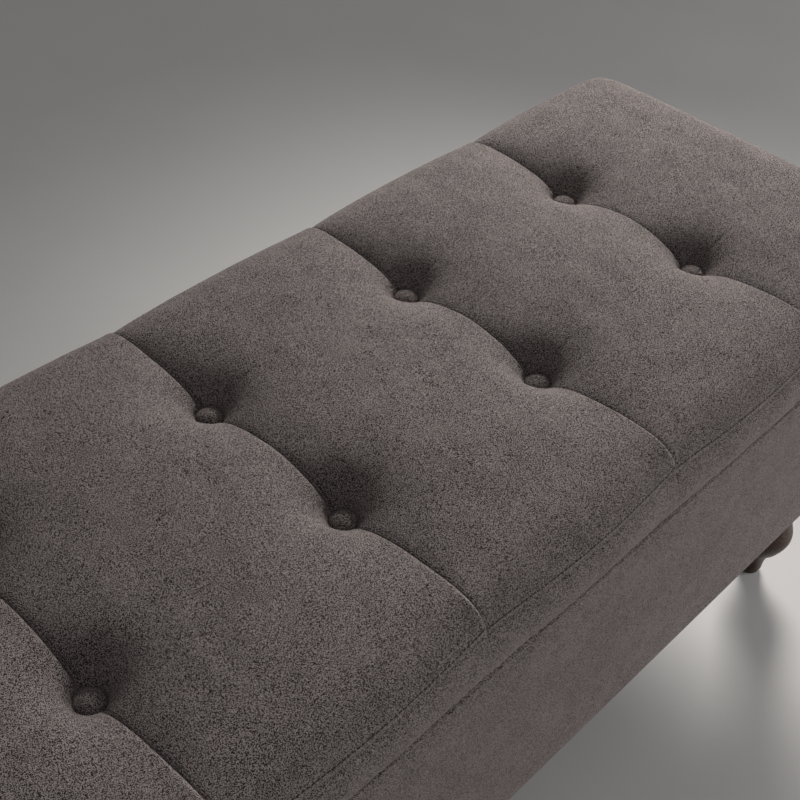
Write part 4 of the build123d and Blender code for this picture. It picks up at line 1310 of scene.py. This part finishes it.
def make_hem_stitches():
    """Stitches of the storage lining's hem."""
    low, high = node_box("storage_lining")
    inset, below_rim = 1.45 * MM, 6.5 * MM
    path = level_ring(low[:2] + inset, high[:2] - inset, 4 * MM, (60, 24), high[2] - below_rim)
    return sewn("lining_stitches", [(path, True)], 0.32 * MM, 4.0 * MM, 0.05)


def beside(low, high, out, z):
    """Straight paths at a height along a rectangle's four sides, some way outside them."""
    ends = [((low[0], y), (high[0], y)) for y in (low[1] - out, high[1] + out)]
    ends += [((x, low[1]), (x, high[1])) for x in (low[0] - out, high[0] + out)]
    return [(np.array([(*a, z), (*b, z)]), False) for a, b in ends]


def make_lid_staples():
    """Staples through the band's cloth where it is folded under the board."""
    low, high = node_box("lid_lining")
    return stapled("lid_staples", beside(low, high, 7 * MM, low[2] - 1.5 * MM), 31 * MM)


def make_box_staples():
    """Staples through the cloth folded under the box, and through the dust cover's long sides."""
    low, high = node_box("dust_cover")
    lift, end = 0.1 * MM, np.array([40 * MM, 0, 0])
    paths = beside(low, high, 5 * MM, node_box("front_cover")[0][2] - lift)
    paths += beside(low + end, high - end, -6 * MM, low[2] + lift)[:2]
    return stapled("box_staples", paths, 38 * MM)


SCREW_RADIUS, SCREW_HEAD, SCREW_LENGTH = 1.6 * MM, 3.0 * MM, 12 * MM
UP, DOWN = (0, 0, 1), (0, 0, -1)


def screw_shape(radius, head_radius, long):
    """A countersunk screw with a cross recess, its face at the origin and its shank down -Z."""
    sides, corners, pitch, crest = 16, 12, 1.2 * MM, 0.35 * MM
    slope = head_radius - radius
    profile = [(head_radius * 0.98, 0.0), (head_radius, -0.12 * MM), (radius, -slope)]
    turns = int((long - slope) / pitch)
    for k in range(turns):
        z = -slope - (long - slope) * (k + 0.5) / turns
        profile += [(radius * 0.82, z + crest), (radius, z)]
    profile.append((radius * 0.3, -long - radius * 0.7))
    vertices, faces = lathe([(0, 0), *profile, (0, -long - radius)], sides)
    faces = [face for face in faces if 0 not in face]
    arm, half = 0.62 * head_radius, 0.13 * head_radius
    cross = []
    for turn in np.arange(4) * math.pi / 2:
        for x, y in ((half, -half), (arm, -half), (arm, half)):
            cross.append((x * math.cos(turn) - y * math.sin(turn), x * math.sin(turn) + y * math.cos(turn)))
    cross.sort(key=lambda place: math.atan2(place[1], place[0]))
    start = len(vertices)
    top = [(x, y, 0.0) for x, y in cross]
    sunk = [(x * 0.55, y * 0.55, -0.45 * slope) for x, y in cross]
    vertices = np.concatenate([vertices, top, sunk])
    rim_of = [1 + int(round(math.atan2(y, x) / (2 * math.pi) * sides)) % sides for x, y in cross]
    for k in range(corners):
        after = (k + 1) % corners
        here, there = rim_of[k], rim_of[after]
        faces.append((start + k, start + after, start + corners + after, start + corners + k))
        while here != there:
            following = 1 + here % sides
            faces.append((start + k, here, following))
            here = following
        faces.append((start + k, there, start + after))
    faces.append(tuple(start + corners + k for k in range(corners)))
    return outward(new_object("screw", vertices, faces, smooth=False))


def make_screws(name, node, way_of):
    """Recessed screws in place of a node's plain ones; way_of says which way each one's face looks."""
    places = np.array(islands(node))
    ways = np.array([way_of(place) for place in places], float)
    faces = places + ways * (SCREW_LENGTH + SCREW_RADIUS) / 2
    piece = path_object(name, [([face], False) for face in faces])
    attribute = piece.data.attributes.new("way", "FLOAT_VECTOR", "POINT")
    attribute.data.foreach_set("vector", ways.astype(np.float32).ravel())
    piece = grown(piece, shared("Place at points", scatter_tree), {
        "Shape": screw_shape(SCREW_RADIUS, SCREW_HEAD, SCREW_LENGTH), "Material": finish("zinc_steel")})
    piece.data.polygons.foreach_set("use_smooth", [False] * len(piece.data.polygons))
    return piece


def make_box_screws():
    """Hinge screws in the rim, and the stay brackets' screws in the side walls."""
    wall = node_box("stay_box_brackets")[1][2] + 5 * MM
    inner = node_box("storage_lining")[1][1] - 10 * MM

    def way_of(place):
        return (-math.copysign(1, place[0]), 0, 0) if place[2] < wall and place[1] < inner else UP

    return make_screws("box_screws", "box_hardware_screws", way_of)


# ---------------------------------------------------------------- stage
def soft_light(name, place, target, size, power, tint, spread=180):
    """An area light that looks at a target, its beam narrowed to a spread in degrees."""
    lamp = bpy.data.lights.new(name, "AREA")
    lamp.shape, lamp.size, lamp.size_y = "RECTANGLE", size[0], size[1]
    lamp.energy, lamp.color, lamp.spread = power, tint, math.radians(spread)
    holder = bpy.data.objects.new(name, lamp)
    holder.location = place
    holder.rotation_euler = (Vector(target) - Vector(place)).to_track_quat("-Z", "Y").to_euler()
    bpy.context.scene.collection.objects.link(holder)


def floor_material():
    """Plain pale floor."""
    tree, wire = new_material("pale_floor", {}, (0.05, 0.2 * MM))
    mottled = noise(tree, in_object(tree), 6.0, 4.0, 0.6)
    return wire(mix(tree, mottled, (0.56, 0.555, 0.55, 1), (0.62, 0.615, 0.61, 1)), mottled,
                between(tree, mottled, 0.2, 0.8, 0.55, 0.7))


def make_stage():
    """Floor, light from all round, softbox, fill and camera."""
    stage = settings("stage")
    scene = bpy.context.scene
    reach = 4.0
    floor = new_object("studio_floor", [(-reach, -reach, 0), (reach, -reach, 0), (reach, reach, 0),
                                        (-reach, reach, 0)], [(0, 1, 2, 3)], smooth=False)
    floor.data.materials.append(floor_material())
    world = bpy.data.worlds.new("studio")
    scene.world = world
    world.use_nodes = True
    background = world.node_tree.nodes["Background"]
    background.inputs["Color"].default_value = (1.0, 0.98, 0.97, 1)
    background.inputs["Strength"].default_value = stage.sky
    soft_light("key_softbox", (1.78, 1.02, 1.30), (0.40, 0.10, 0.42), (0.9, 0.7), stage.key,
               (1.0, 0.97, 0.94), spread=44)
    soft_light("fill_softbox", (1.9, -1.7, 0.6), (0, 0, 0.4), (1.2, 0.8), stage.fill, (1.0, 0.97, 0.95))
    lens = bpy.data.cameras.new("camera")
    lens.lens, lens.sensor_width, lens.clip_start = stage.lens, 36, 0.02
    camera = bpy.data.objects.new("camera", lens)
    turn = (Matrix.Rotation(stage.azimuth, 4, "Z") @ Matrix.Rotation(math.pi / 2 - stage.elevation, 4, "X")
            @ Matrix.Rotation(-stage.roll, 4, "Z"))
    camera.matrix_world = Matrix.Translation(stage.place) @ turn
    scene.collection.objects.link(camera)
    scene.camera = camera
    scene.view_settings.view_transform = "Standard"


# ---------------------------------------------------------------- operators
class BENCH_OT_stage(bpy.types.Operator):
    """Set the floor, the lights and the camera"""
    bl_idname = "bench.stage"
    bl_label = "Stage"

    def execute(self, context):
        make_stage()
        return {"FINISHED"}


class BENCH_OT_cushion(bpy.types.Operator):
    """Make the padded lid"""
    bl_idname = "bench.cushion"
    bl_label = "Padded lid"

    def execute(self, context):
        soft = [*panel_names(), "front_band", "back_band", "left_band", "right_band", "seat_foam"]
        finish_piece(make_cushion(), "lid", finish("upholstery_cloth"), soft)
        return {"FINISHED"}


class BENCH_OT_buttons(bpy.types.Operator):
    """Make the covered buttons"""
    bl_idname = "bench.buttons"
    bl_label = "Covered buttons"

    def execute(self, context):
        finish_piece(make_buttons(), "lid", finish("upholstery_cloth"),
                     ["tufting_buttons"])
        return {"FINISHED"}


class BENCH_OT_stitches(bpy.types.Operator):
    """Sew the lid and the lining's hem"""
    bl_idname = "bench.stitches"
    bl_label = "Stitches"

    def execute(self, context):
        finish_piece(make_seat_stitches(), "lid", finish("sewing_thread"))
        finish_piece(make_hem_stitches(), "root", finish("sewing_thread"))
        return {"FINISHED"}


class BENCH_OT_box_cover(bpy.types.Operator):
    """Cover the box with cloth"""
    bl_idname = "bench.box_cover"
    bl_label = "Box cover"

    def execute(self, context):
        covers = ["front_cover", "back_cover", "left_side_cover", "right_side_cover"]
        finish_piece(make_box_cover(), "root", finish("upholstery_cloth"), covers)
        return {"FINISHED"}


class BENCH_OT_linings(bpy.types.Operator):
    """Line the box and the lid and close the underside"""
    bl_idname = "bench.linings"
    bl_label = "Linings"

    def execute(self, context):
        low, high = node_box("storage_lining")
        size = high - low
        piece = finish_piece(make_storage_lining(), "root", finish("lining_cloth"),
                             ["storage_lining"])
        size = np.subtract(*node_box("lid_lining")[::-1])
        piece = finish_piece(make_lid_lining(), "lid", finish("lining_cloth"), ["lid_lining"])
        tuple(size[:2])
        size = np.subtract(*node_box("dust_cover")[::-1])
        piece = finish_piece(make_dust_cover(), "root", finish("dust_cloth"), ["dust_cover"])
        tuple(size[:2])
        return {"FINISHED"}


class BENCH_OT_legs(bpy.types.Operator):
    """Turn the four legs"""
    bl_idname = "bench.legs"
    bl_label = "Turned legs"

    def execute(self, context):
        for node in ("front_left_leg", "front_right_leg", "back_left_leg", "back_right_leg"):
            finish_piece(make_leg(node), "root", finish("turned_wood"), [node])
        return {"FINISHED"}


class BENCH_OT_fasteners(bpy.types.Operator):
    """Drive the staples and the screws"""
    bl_idname = "bench.fasteners"
    bl_label = "Staples and screws"

    def execute(self, context):
        zinc = finish("zinc_steel")
        finish_piece(make_lid_staples(), "lid", zinc)
        finish_piece(make_box_staples(), "root", zinc)
        finish_piece(make_box_screws(), "root", zinc, ["box_hardware_screws"])
        for name, node, body in (("lid_screws", "lid_hardware_screws", "lid"),
                                 ("plate_screws", "leg_plate_screws", "root")):
            finish_piece(make_screws(name, node, lambda place: DOWN), body, zinc, [node])
        return {"FINISHED"}


class BENCH_OT_hardware(bpy.types.Operator):
    """Give every carried-over part its finish"""
    bl_idname = "bench.hardware"
    bl_label = "Hardware finishes"

    def execute(self, context):
        slots = {part["node"]: part["material_slot"] for part in frame["record"]["subparts"]}
        for name, node in frame["nodes"].items():
            if node.hide_render:
                continue
            node.data.materials.clear()
            node.data.materials.append(finish(slots[name]))
        return {"FINISHED"}


class BENCH_PT_panel(bpy.types.Panel):
    """The bench's settings and pieces"""
    bl_label = "Storage bench"
    bl_space_type = "VIEW_3D"
    bl_region_type = "UI"
    bl_category = "Bench"

    def draw(self, context):
        for group in GROUPS:
            box = self.layout.box()
            box.label(text=group.__doc__)
            values = settings(group_name(group))
            for name in group.__annotations__:
                box.prop(values, name)
        for operator in OPERATORS:
            self.layout.operator(operator.bl_idname)


GROUPS = (BENCH_PG_cushion, BENCH_PG_cloth, BENCH_PG_finish, BENCH_PG_leg, BENCH_PG_box, BENCH_PG_stage)
OPERATORS = (BENCH_OT_stage, BENCH_OT_cushion, BENCH_OT_buttons, BENCH_OT_stitches, BENCH_OT_box_cover,
             BENCH_OT_linings, BENCH_OT_legs, BENCH_OT_fasteners, BENCH_OT_hardware)


def group_name(group):
    """The setting group's short name."""
    return group.__name__.rsplit("_", 1)[-1]


def register():
    """Registers the settings, the operators and the panel."""
    for group in GROUPS:
        bpy.utils.register_class(group)
        setattr(bpy.types.Scene, f"bench_{group_name(group)}", PointerProperty(type=group))
    for item in (*OPERATORS, BENCH_PT_panel):
        bpy.utils.register_class(item)


def unregister():
    """Removes the panel, the operators and the settings."""
    for item in (BENCH_PT_panel, *reversed(OPERATORS)):
        bpy.utils.unregister_class(item)
    for group in reversed(GROUPS):
        delattr(bpy.types.Scene, f"bench_{group_name(group)}")
        bpy.utils.unregister_class(group)


def main():
    """Makes every piece."""
    register()
    for operator in OPERATORS:
        family, name = operator.bl_idname.split(".")
        getattr(getattr(bpy.ops, family), name)()


if __name__ == "__main__":
    main()
